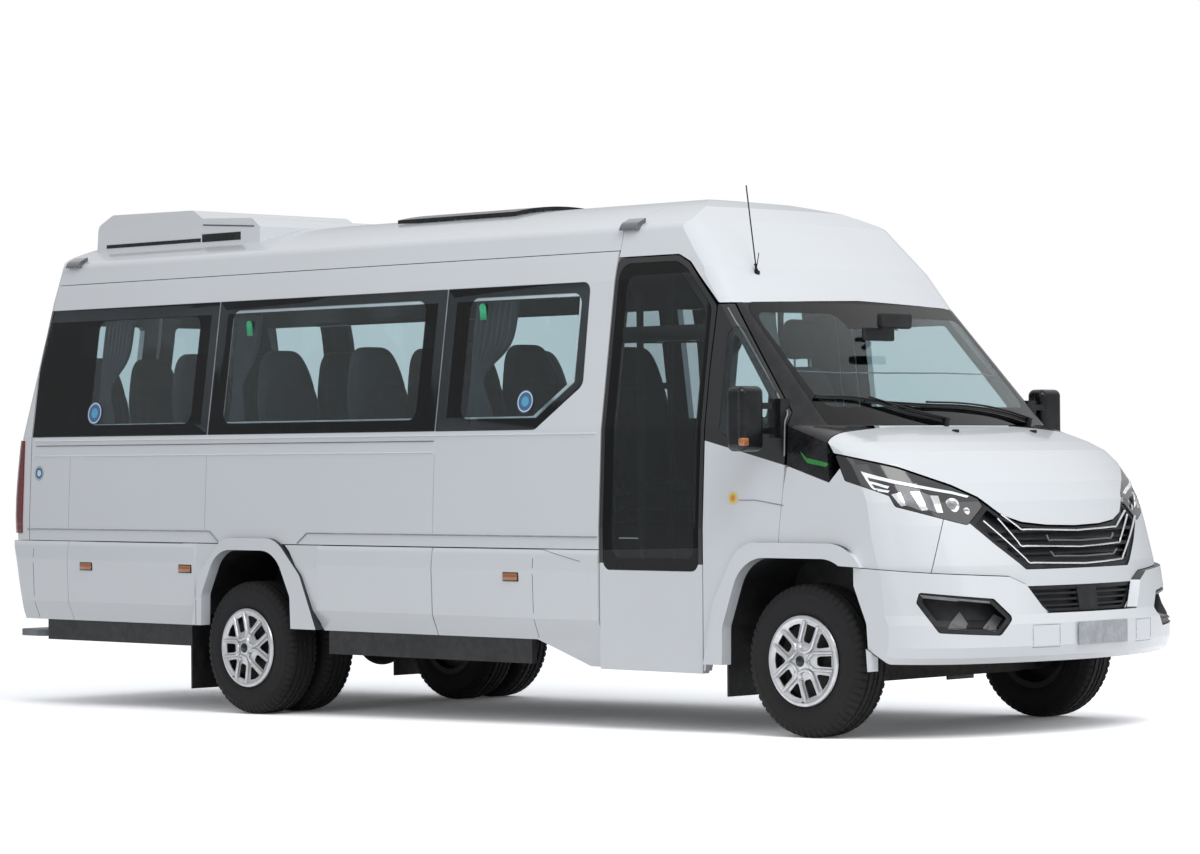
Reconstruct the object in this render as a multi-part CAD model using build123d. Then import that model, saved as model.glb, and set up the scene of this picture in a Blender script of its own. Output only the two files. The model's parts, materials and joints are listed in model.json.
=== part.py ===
from build123d import *
import os
from math import atan2, cos, degrees, hypot, pi, radians, sin, sqrt

# A high-roof minibus, 7.6 m long, as separate body panels, doors, glass, running gear and interior.
# Millimetres. Everything is drawn in the body frame first: +X forward, +Y to the left, +Z up, with
# x = 0 at the front axle and z = 0 on the ground under it. The sprung body then leans nose-down on
# its springs, and the whole is set with its origin at the bottom centre of its bounding box.

# ---------------------------------------------------------------- driving dimensions
WHEELBASE = 4100
TYRE_RADIUS = 370
TYRE_WIDTH = 218
RIM_RADIUS = 203
HUB_RADIUS = 95
FRONT_TYRE_Y = 888
REAR_OUTER_TYRE_Y = 902
REAR_INNER_TYRE_Y = 632
KINGPIN_Y = 745
BODY_RAKE = 0.86                      # degrees, nose down
AXLE_STUB = 42                        # radius of the shaft in each wheel's hub
KINGPIN = 14                          # radius
SPOKES = 5                            # pairs of slots in a wheel trim

BODY_WALL = 50
DOOR_WALL = 48
ROOF_WALL = 45
BONNET_WALL = 34
BUMPER_WALL = 40
SKIRT_WALL = 34
GLASS = 6
TRIM_WALL = 24
SEAM = 4                              # line between two fixed panels
DOOR_GAP = 7                          # line round a panel that opens
RUNNING_GAP = 1                       # between a turning piece and what carries it
PIN_GAP = 0.3                         # round a hinge or king pin
LEAF_CLEARANCE = 2.5                  # a rear leaf's swing ends this far short of the middle

SKIRT_TOP = 885
SKIRT_BOTTOM = 420
PLUG_DOOR_REAR = -1357
PLUG_DOOR_FRONT = -653
PLUG_DOOR_BOTTOM = 286
BODY_REAR = -6110                     # where the sides end and the rear wall starts
SIDE_TOP = 2400                       # seam between the sides and the roof
BAND_BOTTOM, BAND_TOP = 1498, 2250    # glass band along the sides
WINDOW_SEAMS = (-6107, -4478, -2593, -1530)
REAR_DOOR_HALF = 715
REAR_DOOR_BOTTOM, REAR_DOOR_TOP = 900, 2290
REAR_HINGE = (-6330, 1240)            # x and height of a point on the rear doors' hinge line
REAR_HINGE_TILT = 6.5                 # degrees, leaning forward with the sloping rear face
FLOOR_TOP = 760
FLOOR_THICK = 45
RAIL_TOP, RAIL_BOTTOM, RAIL_Y, RAIL_WIDTH = 712, 560, 410, 75

# half width of the body at each height; the roof's crown closes it above the last row
SECTION = (  # height, half width
    (150, 1000), (1000, 1000), (1500, 976), (2250, 868), (2370, 840), (2525, 800))
ROOF_HEIGHT = 2700
GUTTER_RADIUS = 60
SKIRT_SECTION = (  # height, half width of the faceted lower skirts
    (150, 880), (420, 962), (530, 1006), (776, 1014), (900, 1002))

# horizontal outlines of nose and tail
HULL = (  # height, nose x, corner radius, front radius, tail x
    (250, 930, 400, 1900, -6165), (600, 962, 400, 1900, -6262), (830, 925, 400, 1900, -6312),
    (1020, 868, 380, 1900, -6322), (1130, 822, 350, 1950, -6323), (1220, 762, 330, 2000, -6318),
    (1310, 676, 300, 2100, -6310), (1370, 580, 270, 2300, -6303), (1415, 450, 240, 2600, -6299),
    (1500, 150, 200, 3000, -6288), (2120, -470, 130, 4200, -6163), (2300, -605, 130, 4200, -6137),
    (2545, -850, 130, 4200, -6100), (2625, -1000, 130, 4200, -6072), (2675, -1210, 130, 4200, -6030),
    (2780, -2100, 130, 4200, -5850))
TAIL_CORNER = 150
BUMPER_HULL = (  # height, nose x, corner radius, front radius, tail x
    (340, 940, 430, 1900, -6165), (402, 1010, 450, 1900, -6200), (450, 1030, 450, 1900, -6200),
    (555, 1030, 450, 1900, -6200), (600, 1006, 450, 1900, -6200), (740, 978, 430, 1900, -6200),
    (860, 955, 420, 1900, -6200))
SIDE_CLEARANCE = 7                    # the hull's sides stand this far outside the section
SKIRT_CLEARANCE = 16                  # the same for the skirts, whose section is wider
LOW_CUT = 60                          # how much lower an inner form starts, so that walls stay open below

# the passenger door's column and arms, the steering wheel, the seats and the towing eye
ARM_X, COLUMN_Y, ARM_LENGTH = -1270, -780, 400
ARM_LOW, ARM_HIGH = 600, 1950
COLUMN_BOTTOM, COLUMN_TOP = 470, 2180
COLUMN_RADIUS, DOOR_PIN = 18, 9
ARM_ROUTE = ((0, 0), (70, 112), (225, 150), (352, 78), (400, 0))   # x, y from the column, closed
STEER_CENTRE = (-462, 480, 1272)
STEER_TILT = 62                       # degrees of the wheel's axis from vertical, leaning back
STEER_RADIUS = 205
SEAT_BASE = 300                       # height of a seat's plinth
SEAT_ROWS = (-2100, -2860, -3620, -4380)      # front of the cushions
SEAT_LINES = (-640, -192, 640)        # middles of the seats in a row
SEAT_WIDTH = 440
REAR_SEATS, REAR_SEAT_PITCH = 4, 430
TOW_EYE = (-6180, 620)                # x and middle height of the rear eye's upright bore
TOW_EYE_BORE, TOW_EYE_THICK, TOW_EYE_HALF = 20, 24, 36
FRAME_END = -6150

FRONT_ARCH = (  # x, height, corner radius of the opening in the fender
    (-505, 150, 0), (-500, 520, 60), (-372, 862, 210), (275, 862, 210), (408, 560, 60), (440, 150, 0))
FRONT_LINER = (  # the same for the liner behind it, roomy enough for the tyre at full lock
    (-505, 150, 0), (-500, 520, 60), (-372, 862, 210), (275, 862, 210), (440, 560, 60), (480, 150, 0))
REAR_ARCH = (  # x, height, corner radius
    (-4494, 150, 0), (-4480, 600, 60), (-4352, 852, 190), (-3850, 852, 190), (-3722, 600, 60),
    (-3705, 150, 0))
FRONT_FLARE = (  # x, height, corner radius of the flare's outer edge
    (-660, 200, 0), (-560, 640, 90), (-390, 936, 200), (330, 936, 230), (470, 640, 60), (440, 200, 0))
REAR_FLARE = (  # x, height, corner radius
    (-4600, 300, 0), (-4500, 720, 90), (-4300, 920, 200), (-3840, 920, 200), (-3640, 720, 90),
    (-3450, 300, 0))
FLARE_OUT = 26                        # how far a flare stands out from the side


# ---------------------------------------------------------------- outlines and regions
def rows_to_wire(plane, rows):
    """Closed outline of rows (across, up, corner radius) on a plane."""
    points = [(a, b) for a, b, _ in rows]
    return plane * FilletPolyline(*points, radius=[r for _, _, r in rows], close=True)


def side_region(rows, y_from, y_to):
    """Solid with the side-view outline rows (x, z, radius) between two y."""
    face = make_face(rows_to_wire(Plane.XZ, rows))
    return Pos(0, y_from, 0) * extrude(face, amount=y_to - y_from, dir=(0, 1, 0))


def front_region(rows, x_from, x_to):
    """Solid with the front-view outline rows (y, z, radius) between two x."""
    face = make_face(rows_to_wire(Plane.YZ, rows))
    return Pos(x_from, 0, 0) * extrude(face, amount=x_to - x_from, dir=(1, 0, 0))


def corner_region(rows, behind=0):
    """Solid with the outline rows (s, z, radius) seen square onto the right front corner."""
    plane = Plane(origin=(0, 0, 0), x_dir=(1, 1, 0), z_dir=(1, -1, 0))
    back = Pos(-behind, behind, 0)
    return back * extrude(make_face(rows_to_wire(plane, rows)), amount=2 * FAR + behind * 2, dir=(1, -1, 0))


def box(x, y, z):
    """Box from its three (low, high) ranges."""
    size = [hi - lo for lo, hi in (x, y, z)]
    return Pos(*[(lo + hi) / 2 for lo, hi in (x, y, z)]) * Box(*size)


def both(shape):
    """A right-hand piece with its left-hand twin, as one list of solids."""
    return list(shape.solids()) + list(mirror(shape, Plane.XZ).solids())


def left_of(shape):
    return mirror(shape, Plane.XZ)


def joined(pieces):
    """Pieces that touch, fused to one shape."""
    pieces = list(pieces)
    whole = pieces[0]
    for piece in pieces[1:]:
        whole = whole + piece
    return whole


# ---------------------------------------------------------------- the body's form
def half_width_at(height, section=SECTION):
    """Half width of a section at a height, straight between its rows."""
    for (z0, w0), (z1, w1) in zip(section, section[1:]):
        if height <= z1:
            return w0 + (w1 - w0) * (height - z0) / (z1 - z0)
    return section[-1][1]


def tube(inset, section=SECTION, top=ROOF_HEIGHT):
    """The body's cross-section run from end to end, `inset` inside its outer face."""
    low = section[0][0] - (LOW_CUT if inset > 0 else 0)
    sides = [(w - inset, z) for z, w in section[1:-1]]
    edge_w, edge_z = section[-1][1] - inset, section[-1][0] - inset * 0.45
    points = [(section[0][1] - inset, low)] + sides + [(edge_w, edge_z)]
    lines = []
    for side in (1, -1):
        for (w0, z0), (w1, z1) in zip(points, points[1:]):
            lines.append(Edge.make_line((0, side * w0, z0), (0, side * w1, z1)))
    lines.append(Edge.make_line((0, points[0][0], low), (0, -points[0][0], low)))
    lines.append(Edge.make_three_point_arc((0, edge_w, edge_z), (0, 0, top - inset), (0, -edge_w, edge_z)))
    face = Face(Wire(lines))
    corners = [v for v in face.vertices() if abs(v.Z - edge_z) < 0.1]
    face = face.fillet_2d(GUTTER_RADIUS, corners)
    return Pos(-7000, 0, 0) * extrude(Sketch() + face, amount=9000, dir=(1, 0, 0))


def outline_at(height, nose, half_width, corner, front_radius, tail):
    """Horizontal outline: a wide arc over the nose, round corners, straight sides, round tail corners."""
    front_x = nose - front_radius
    corner_x = front_x + sqrt((front_radius - corner) ** 2 - (half_width - corner) ** 2)
    corner_y = half_width - corner
    turn = atan2(corner_y, corner_x - front_x)
    tangent = (front_x + front_radius * cos(turn), front_radius * sin(turn))
    middle = (turn + pi / 2) / 2
    bend = (corner_x + corner * cos(middle), corner_y + corner * sin(middle))
    shoulder = (corner_x, half_width)
    tail_x, tail_y = tail + TAIL_CORNER, half_width - TAIL_CORNER
    tail_bend = (tail_x - TAIL_CORNER * cos(pi / 4), tail_y + TAIL_CORNER * sin(pi / 4))

    def at(point, side=1):
        return (point[0], side * point[1], height)

    edges = [Edge.make_three_point_arc(at(tangent, -1), at((nose, 0)), at(tangent))]
    for side in (1, -1):
        edges.append(Edge.make_three_point_arc(at(tangent, side), at(bend, side), at(shoulder, side)))
        edges.append(Edge.make_line(at(shoulder, side), at((tail_x, half_width), side)))
        edges.append(Edge.make_three_point_arc(
            at((tail_x, half_width), side), at(tail_bend, side), at((tail, tail_y), side)))
    edges.append(Edge.make_line(at((tail, tail_y)), at((tail, tail_y), -1)))
    return Wire(edges)


def hull(inset, rows=HULL, section=SECTION):
    """Nose and tail surfaces, moved in by `inset` square to the centre-line profile."""
    wires = []
    for i, (z, nose, corner, front_radius, tail) in enumerate(rows):
        z0, x0 = rows[max(i - 1, 0)][:2]
        z1, x1 = rows[min(i + 1, len(rows) - 1)][:2]
        run = hypot(z1 - z0, x1 - x0)
        normal_x, normal_z = (z1 - z0) / run, (x0 - x1) / run
        height = z - inset * normal_z
        if i == 0:
            height = z - (LOW_CUT if inset > 0 else 0)
        width = half_width_at(z, section) + SIDE_CLEARANCE - inset
        wires.append(outline_at(height, nose - inset * normal_x, width, max(corner - inset, 60),
                                front_radius - inset, tail + inset))
    return Solid.make_loft(wires, ruled=True)


FORMS = {}


def form(inset, kind="body"):
    """The closed body form at an inset, made once for each wall thickness."""
    if (inset, kind) not in FORMS:
        if kind == "body":
            FORMS[inset, kind] = Part() + (tube(inset) & hull(inset))
        elif kind == "skirt":
            FORMS[inset, kind] = Part() + (tube(inset, SKIRT_SECTION, 1000) & hull(inset - SKIRT_CLEARANCE))
        elif kind == "bumper":
            wide = tuple((z, w + 10) for z, w in SECTION)
            FORMS[inset, kind] = Part() + (tube(inset, wide) & hull(inset, BUMPER_HULL, wide))
    return FORMS[inset, kind]


def skin(wall, region, kind="body", face=0):
    """The body's wall between two depths, cut to a region."""
    return (form(face, kind) & region) - form(wall, kind)


# ---------------------------------------------------------------- panel outlines
FAR = 1500
WINDSCREEN = (  # y, height, corner radius, seen from the front
    (-838, 1494, 30), (-800, 2112, 60), (0, 2134, 0), (800, 2112, 60), (838, 1494, 30))
PILLAR_COVER = (  # x, height, corner radius, seen from the side
    (-556, 2109, 0), (-104, 1565, 20), (-104, 1309, 0), (168, 1228, 0), (150, 1360, 0), (135, 1496, 0),
    (60, 1496, 0), (300, 2109, 0))
BONNET_EDGE = (  # s, height, corner radius, seen square onto the right front corner
    (-1200, 1440, 0), (-600, 1440, 0), (-560, 1362, 10), (-274, 1297, 40), (-16, 1208, 60), (112, 1150, 60),
    (230, 1062, 60), (330, 1028, 60), (460, 1012, 0), (620, 1006, 0), (1600, 1006, 0), (1600, 1800, 0),
    (-1200, 1800, 0))
HEADLAMP = (
    (-553, 1356, 6), (-274, 1290, 60), (-16, 1200, 60), (112, 1142, 20), (134, 1108, 12), (56, 1022, 20),
    (-17, 1040, 20), (-288, 1112, 20), (-314, 1163, 12), (-510, 1234, 12))
GRILLE = (  # y, height, corner radius, seen from the front
    (-402, 806, 20), (-548, 926, 20), (-668, 1040, 10), (-655, 1150, 0), (655, 1150, 0), (668, 1040, 10),
    (548, 926, 20), (402, 806, 20))
LOWER_GRILLE = (
    (-300, 602, 10), (-380, 668, 10), (-455, 728, 10), (455, 728, 10), (380, 668, 10), (300, 602, 10))
BUMPER_TOP = (  # s, height, corner radius
    (-1300, 835, 0), (-561, 827, 40), (-124, 797, 60), (250, 776, 30), (334, 737, 30), (437, 600, 20),
    (1700, 600, 0), (1700, 300, 0), (-330, 372, 60), (-432, 448, 40), (-470, 560, 0), (-1300, 560, 0))
FOG_RECESS = (
    (-190, 710, 14), (168, 676, 25), (263, 585, 25), (198, 503, 25), (-101, 520, 25), (-204, 660, 14))
FENDER_SEAM = ((-61, 1045), (-130, 790))
PLUG_DOOR = (  # x, height, corner radius
    (PLUG_DOOR_REAR, PLUG_DOOR_BOTTOM, 8), (PLUG_DOOR_REAR, 2362, 30), (-942, 2362, 70), (-858, 2322, 40),
    (-640, 2098, 40), (PLUG_DOOR_FRONT, 1800, 60), (PLUG_DOOR_FRONT, PLUG_DOOR_BOTTOM, 8))
PLUG_GLASS = (
    (-1296, 824, 12), (-1296, 2296, 30), (-955, 2296, 60), (-888, 2262, 40), (-712, 2080, 40), (-716, 824, 12))
DRIVER_DOOR = (
    (-1250, 345, 20), (-1250, 2092, 60), (-590, 2092, 20), (-117, 1560, 20), (-140, 1189, 0), (-160, 958, 20),
    (-380, 958, 120), (-590, 640, 90), (-650, 345, 20))
DRIVER_GLASS = (
    (-1170, 1490, 30), (-1170, 2030, 40), (-620, 2030, 30), (-255, 1600, 20), (-255, 1455, 20))
CAB_GLASS = (
    (-512, 1975, 15), (-250, 1652, 15), (-250, 1540, 30), (-512, 1490, 15))
CAP_EDGE = (  # x, height, corner radius: lower edge of the cap over doors and windscreen
    (PLUG_DOOR_REAR + SEAM, 2362 + DOOR_GAP, 0), (-938, 2362 + DOOR_GAP, 60), (-850, 2328, 40),
    (-628, 2113, 20), (-560, 2113, 0), (0, 2113, 0), (0, 2900, 0), (PLUG_DOOR_REAR + SEAM, 2900, 0))
REAR_GLASS = (  # y, height, corner radius
    (-620, 1510, 40), (-590, 2170, 50), (-120, 2170, 30), (-120, 1510, 30))
GRILLE_BARS = (  # lower z, upper z, depth behind the face
    (832, 848, 10), (874, 884, 26), (908, 924, 10), (944, 954, 26), (980, 994, 10))
HATCH_X, HATCH_HALF = (-3500, -2560), 400


def inside(rows, margin):
    """An outline pulled in (or, if negative, pushed out) by a margin, corner by corner."""
    count = len(rows)
    area = sum(a[0] * b[1] - b[0] * a[1] for a, b in zip(rows, rows[1:] + rows[:1])) / 2
    turn = 1 if area > 0 else -1
    moved = []
    for i, (x, z, r) in enumerate(rows):
        xa, za = rows[i - 1][:2]
        xb, zb = rows[(i + 1) % count][:2]
        la, lb = hypot(x - xa, z - za), hypot(xb - x, zb - z)
        na = (-(z - za) / la * turn, (x - xa) / la * turn)
        nb = (-(zb - z) / lb * turn, (xb - x) / lb * turn)
        scale = margin / (1 + na[0] * nb[0] + na[1] * nb[1])
        moved.append((x + (na[0] + nb[0]) * scale, z + (na[1] + nb[1]) * scale, max(r - margin * (r > 0), 0)))
    return tuple(moved)


# ---------------------------------------------------------------- body sides, roof and rear
def window_region(index, margin, y_from, y_to):
    """One pane's outline between its seams; the front pane has its lower corner cut away."""
    rear, front = WINDOW_SEAMS[index] + 3, WINDOW_SEAMS[index + 1] - 3
    if index == 2:
        rows = ((rear, BAND_BOTTOM, 8), (rear, BAND_TOP, 8), (front - 2, BAND_TOP, 50),
                (front + 10, 1722, 60), (-1846, BAND_BOTTOM, 60))
    else:
        rows = ((rear, BAND_BOTTOM, 8), (rear, BAND_TOP, 8), (front, BAND_TOP, 8), (front, BAND_BOTTOM, 8))
    return side_region(inside(rows, margin), y_from, y_to)


def body_side():
    """Right side wall behind the door: rebated for the glass, with three window openings."""
    x_range = (BODY_REAR, PLUG_DOOR_REAR - DOOR_GAP - 2)
    side = skin(BODY_WALL, box(x_range, (-FAR, 0), (SKIRT_TOP + SEAM, SIDE_TOP)))
    side -= side_region(REAR_FLARE, -FAR, 0)
    side -= box((-6400, BODY_REAR + 80), (-REAR_DOOR_HALF - 50, 0), (0, SIDE_TOP))
    for i in range(3):
        side -= skin(GLASS, window_region(i, -2, -FAR, 0))
        side -= window_region(i, 70, -FAR, 0)
    return side


def side_panes():
    panes = []
    for i in range(3):
        panes += list(skin(GLASS, window_region(i, 0, -FAR, 0)).solids())
    return panes


def cab_pane():
    return skin(GLASS, side_region(inside(CAB_GLASS, -38), -FAR, 0))


def cab_side(door_side):
    """Fixed panel ahead of the passenger door, or the post behind the driver's door."""
    if door_side:
        rows = ((PLUG_DOOR_FRONT + DOOR_GAP, 300, 0), (PLUG_DOOR_FRONT + DOOR_GAP, 1790, 0),
                (-632, 2104, 0), (-560, 2104, 0), (-108, 1562, 0), (-129, 1189, 0), (-152, 940, 0),
                (-152, 300, 0))
        panel = skin(BODY_WALL, side_region(rows, -FAR, 0))
        panel -= side_region(FRONT_FLARE, -FAR, 0)
        panel -= skin(GLASS, side_region(inside(CAB_GLASS, -40), -FAR, 0))
        return panel - side_region(CAB_GLASS, -FAR, 0)
    panel = skin(BODY_WALL, box((PLUG_DOOR_REAR - SEAM, -600), (-FAR, 0), (345, SIDE_TOP)))
    panel -= side_region(inside(DRIVER_DOOR, -DOOR_GAP), -FAR, 0)
    panel -= side_region(inside(CAP_EDGE, -SEAM), -FAR, 0)
    return panel - box((-700, 0), (-FAR, 0), (0, 2000))


def roof_panel():
    roof = skin(ROOF_WALL, box((-6400, PLUG_DOOR_REAR), (-FAR, FAR), (SIDE_TOP + SEAM, 2900)))
    roof -= box((HATCH_X[0] + 40, HATCH_X[1] - 40), (-HATCH_HALF + 40, HATCH_HALF - 40), (2400, 2900))
    return roof


def roof_cap():
    cap = skin(ROOF_WALL, side_region(CAP_EDGE, -FAR, FAR))
    cap -= front_region(inside(WINDSCREEN, -3), -700, 300)
    return cap


def rear_wall():
    heights = (SKIRT_TOP + SEAM, SIDE_TOP)
    back = box((-6500, BODY_REAR - SEAM), (-FAR, FAR), heights)
    jamb = REAR_DOOR_HALF + 50 - SEAM
    back += box((-6500, BODY_REAR + 80 - SEAM), (-jamb, jamb), heights)
    wall = skin(BODY_WALL, back)
    wall -= box((-6500, -5800), (-REAR_DOOR_HALF, REAR_DOOR_HALF), (0, REAR_DOOR_TOP))
    for lamp in tail_lamp_regions(2):
        wall -= skin(TRIM_WALL, lamp)
    return wall


def tail_lamp_regions(margin):
    lamp = box((-6500, -6180 + margin), (-FAR, -REAR_DOOR_HALF - 60 + margin), (930 - margin, 1480 + margin))
    return [lamp, left_of(lamp)]


def rear_door_leaf():
    """Right-hand rear leaf with its window cut."""
    y_range = (-REAR_DOOR_HALF + DOOR_GAP, -DOOR_GAP / 2)
    z_range = (REAR_DOOR_BOTTOM + DOOR_GAP, REAR_DOOR_TOP - DOOR_GAP)
    leaf = skin(DOOR_WALL, box((-6500, -5900), y_range, z_range))
    window = front_region(REAR_GLASS, -6500, -5900)
    leaf -= skin(GLASS, front_region(inside(REAR_GLASS, -42), -6500, -5900))
    swing = Pos(REAR_HINGE[0], -REAR_DOOR_HALF, REAR_HINGE[1]) * Rot(0, REAR_HINGE_TILT, 0)
    swing *= Cylinder(REAR_DOOR_HALF - LEAF_CLEARANCE, 4000)
    return (leaf - window) & swing


def rear_door_pane():
    return skin(GLASS, front_region(inside(REAR_GLASS, -40), -6500, -5900))


# ---------------------------------------------------------------- nose
def bonnet_region(margin=0):
    right = corner_region(inside(BONNET_EDGE, margin), FAR)
    return right & left_of(right)


def bonnet_panel():
    bonnet = skin(BONNET_WALL, bonnet_region(DOOR_GAP / 2) & box((-100, 1200), (-FAR, FAR), (900, 1492)))
    bonnet -= side_region(inside(PILLAR_COVER, -DOOR_GAP), -FAR, FAR)
    return bonnet


def headlamp():
    return skin(TRIM_WALL * 3, corner_region(HEADLAMP) & box((0, 1200), (-FAR, -300), (900, 1500)))


def grille_region(margin=0):
    return front_region(inside(GRILLE, margin), 500, 1200)


def grille_panel():
    """Black surround with slats: a shallow tray behind the nose's face and bars across it."""
    keep = grille_region(2) - bonnet_region(-DOOR_GAP) - headlamp_holes(4)
    tray = skin(70, keep, face=8)
    tray -= skin(44, grille_region(24) - bonnet_region(-DOOR_GAP - 14) - headlamp_holes(30))
    bars = []
    for low, high, out in GRILLE_BARS:
        bars.append(skin(50, keep & box((500, 1200), (-FAR, FAR), (low, high)), face=out))
    return joined([tray] + bars)


def headlamp_holes(margin):
    right = corner_region(inside(HEADLAMP, -margin)) & box((0, 1300), (-FAR, -300), (800, 1600))
    return right + left_of(right)


def front_face():
    """White panel round the grilles, between the fender seams and above the bumper."""
    seam = ((FENDER_SEAM[0][0] + 60, 1300, 0), (FENDER_SEAM[0][0], 1045, 0), (FENDER_SEAM[1][0], 790, 0),
            (FENDER_SEAM[1][0], 400, 0), (1700, 400, 0), (1700, 1300, 0))
    ahead = corner_region(seam, FAR)
    panel = skin(TRIM_WALL, ahead & left_of(ahead) & box((300, 1200), (-FAR, FAR), (560, 1200)))
    panel -= bonnet_region(-DOOR_GAP)
    panel -= headlamp_holes(3)
    panel -= grille_region(0)
    panel -= front_region(LOWER_GRILLE, 500, 1200)
    panel -= bumper_region(-3) & box((300, 1300), (-FAR, FAR), (300, 900))
    return panel


def lower_grille():
    keep = front_region(inside(LOWER_GRILLE, 2), 500, 1200)
    tray = skin(70, keep, face=40)
    bars = [skin(50, keep & box((500, 1200), (-FAR, FAR), (z, z + 10)), face=12) for z in (628, 656, 684, 708)]
    bars.append(skin(50, keep & box((500, 1200), (-75, 75), (600, 722)), face=8))
    ring = skin(60, keep - front_region(inside(LOWER_GRILLE, 16), 500, 1200), face=10)
    return joined([tray, ring] + bars)


def bumper_region(margin=0):
    right = corner_region(inside(BUMPER_TOP, margin), FAR)
    return (right & box((-1000, 1500), (-FAR, 0), (0, 1000))) + (
        left_of(right) & box((-1000, 1500), (0, FAR), (0, 1000)))


def front_bumper():
    bumper = skin(BUMPER_WALL, bumper_region() & box((330, 1300), (-FAR, FAR), (372, 900)), "bumper")
    bumper -= side_region(FRONT_ARCH, -FAR, FAR)
    fog = corner_region(FOG_RECESS) & box((300, 1300), (-FAR, -200), (300, 900))
    return bumper - fog - left_of(fog)


def fog_recess():
    keep = corner_region(inside(FOG_RECESS, 2)) & box((300, 1300), (-FAR, -200), (300, 900))
    pocket = skin(110, keep, "bumper", face=10)
    return pocket - skin(90, keep & corner_region(inside(FOG_RECESS, 26)), "bumper")


def fender():
    """Right front fender, from the shut line to the front panel's seam."""
    rows = ((-148, 945, 0), (-125, 1189, 0), (-104, 1305, 0), (165, 1224, 0), (240, 1300, 0), (700, 1300, 0),
            (900, 900, 0), (900, 780, 0), (-148, 780, 0))
    upper, lower = FENDER_SEAM[0][0] - SEAM, FENDER_SEAM[1][0] - SEAM
    seam = ((upper + 60, 1300, 0), (upper, 1045, 0), (lower, 790, 0), (lower, 300, 0), (-1500, 300, 0),
            (-1500, 1300, 0))
    panel = skin(BODY_WALL, side_region(rows, -FAR, 0) & corner_region(seam, FAR))
    panel -= side_region(FRONT_FLARE, -FAR, 0)
    panel -= headlamp_holes(3)
    panel -= bonnet_region(-DOOR_GAP)
    panel -= bumper_region(-3) & box((300, 1300), (-FAR, FAR), (300, 900))
    return panel


def pillar_cover():
    cover = skin(BODY_WALL, side_region(PILLAR_COVER, -FAR, 0))
    cover -= front_region(inside(WINDSCREEN, -2), -700, 300) & box((-800, 300), (-FAR, FAR), (1496, 2200))
    cover -= headlamp_holes(3)
    return cover & box((-800, 300), (-FAR, -640), (1200, 2200))


def windscreen():
    return skin(GLASS, front_region(WINDSCREEN, -700, 300) & box((-800, 300), (-FAR, FAR), (1497, 2200)))


# ---------------------------------------------------------------- doors
def driver_door():
    """Drawn on the right and mirrored to the left."""
    door = skin(DOOR_WALL, side_region(DRIVER_DOOR, -FAR, 0))
    door -= skin(GLASS, side_region(inside(DRIVER_GLASS, -36), -FAR, 0))
    return door - side_region(DRIVER_GLASS, -FAR, 0)


def driver_pane():
    return skin(GLASS, side_region(inside(DRIVER_GLASS, -34), -FAR, 0))


def plug_door():
    door = skin(DOOR_WALL, side_region(PLUG_DOOR, -FAR, 0))
    door -= skin(GLASS, side_region(inside(PLUG_GLASS, -38), -FAR, 0))
    door -= side_region(PLUG_GLASS, -FAR, 0)
    lugs = []
    for height, inner in ((ARM_LOW, 946), (ARM_HIGH, 864)):
        lug = box((ARM_X + ARM_LENGTH - 22, ARM_X + ARM_LENGTH + 22), (-inner, COLUMN_Y + 22),
                  (height + 24, height + 48))
        lug -= Pos(ARM_X + ARM_LENGTH, COLUMN_Y, height) * Cylinder(DOOR_PIN + PIN_GAP, 200)
        lugs.append(lug)
    bridge = skin(DOOR_WALL + 14, box((-1330, -680), (-FAR, 0), (ARM_HIGH - 20, ARM_HIGH + 60)), face=GLASS)
    lower = skin(DOOR_WALL + 14, box((-1330, -680), (-FAR, 0), (ARM_LOW - 20, ARM_LOW + 60)), face=GLASS)
    return joined([door, bridge, lower] + lugs)


def plug_pane():
    return skin(GLASS, side_region(inside(PLUG_GLASS, -36), -FAR, 0))


def door_arms():
    """Turning column with two cranked arms that carry the passenger door."""
    column = Pos(ARM_X, COLUMN_Y, (COLUMN_BOTTOM + COLUMN_TOP) / 2)
    column *= Cylinder(COLUMN_RADIUS, COLUMN_TOP - COLUMN_BOTTOM)
    pieces = [column]
    for height in (ARM_LOW, ARM_HIGH):
        path = [(ARM_X + x, COLUMN_Y + y) for x, y in ARM_ROUTE]
        for (xa, ya), (xb, yb) in zip(path, path[1:]):
            run = hypot(xb - xa, yb - ya)
            bar = Pos((xa + xb) / 2, (ya + yb) / 2, height) * Rot(0, 0, degrees(atan2(yb - ya, xb - xa)))
            pieces.append(bar * Box(run, 30, 40))
            pieces.append(Pos(xb, yb, height) * Cylinder(15 if (xb, yb) != path[-1] else 20, 40))
        pieces.append(Pos(path[-1][0], path[-1][1], height + 20 + 16) * Cylinder(DOOR_PIN, 34))
    return joined(pieces)


# ---------------------------------------------------------------- lower body
def skirts():
    """Right-hand skirt panels: behind the rear wheel, ahead of it and up to the door."""
    pieces = []
    for rear, front in ((-5733, -4560), (-3520, -2593 - SEAM), (-2593, PLUG_DOOR_REAR - DOOR_GAP - 2)):
        panel = skin(SKIRT_WALL, box((rear + SEAM, front), (-FAR, -600), (200, SKIRT_TOP)), "skirt")
        diagonal = ((-6200, SKIRT_BOTTOM, 0), (-1845, SKIRT_BOTTOM, 40), (-1500, 290, 20), (-1300, 290, 0),
                    (-1300, 1000, 0), (-6200, 1000, 0))
        panel &= side_region(diagonal, -FAR, 0)
        panel -= side_region(REAR_FLARE, -FAR, 0)
        pieces += list(panel.solids())
    return pieces


def rear_bumper():
    return skin(SKIRT_WALL, box((-6500, -5733), (-FAR, FAR), (SKIRT_BOTTOM, SKIRT_TOP)), "skirt")


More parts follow.
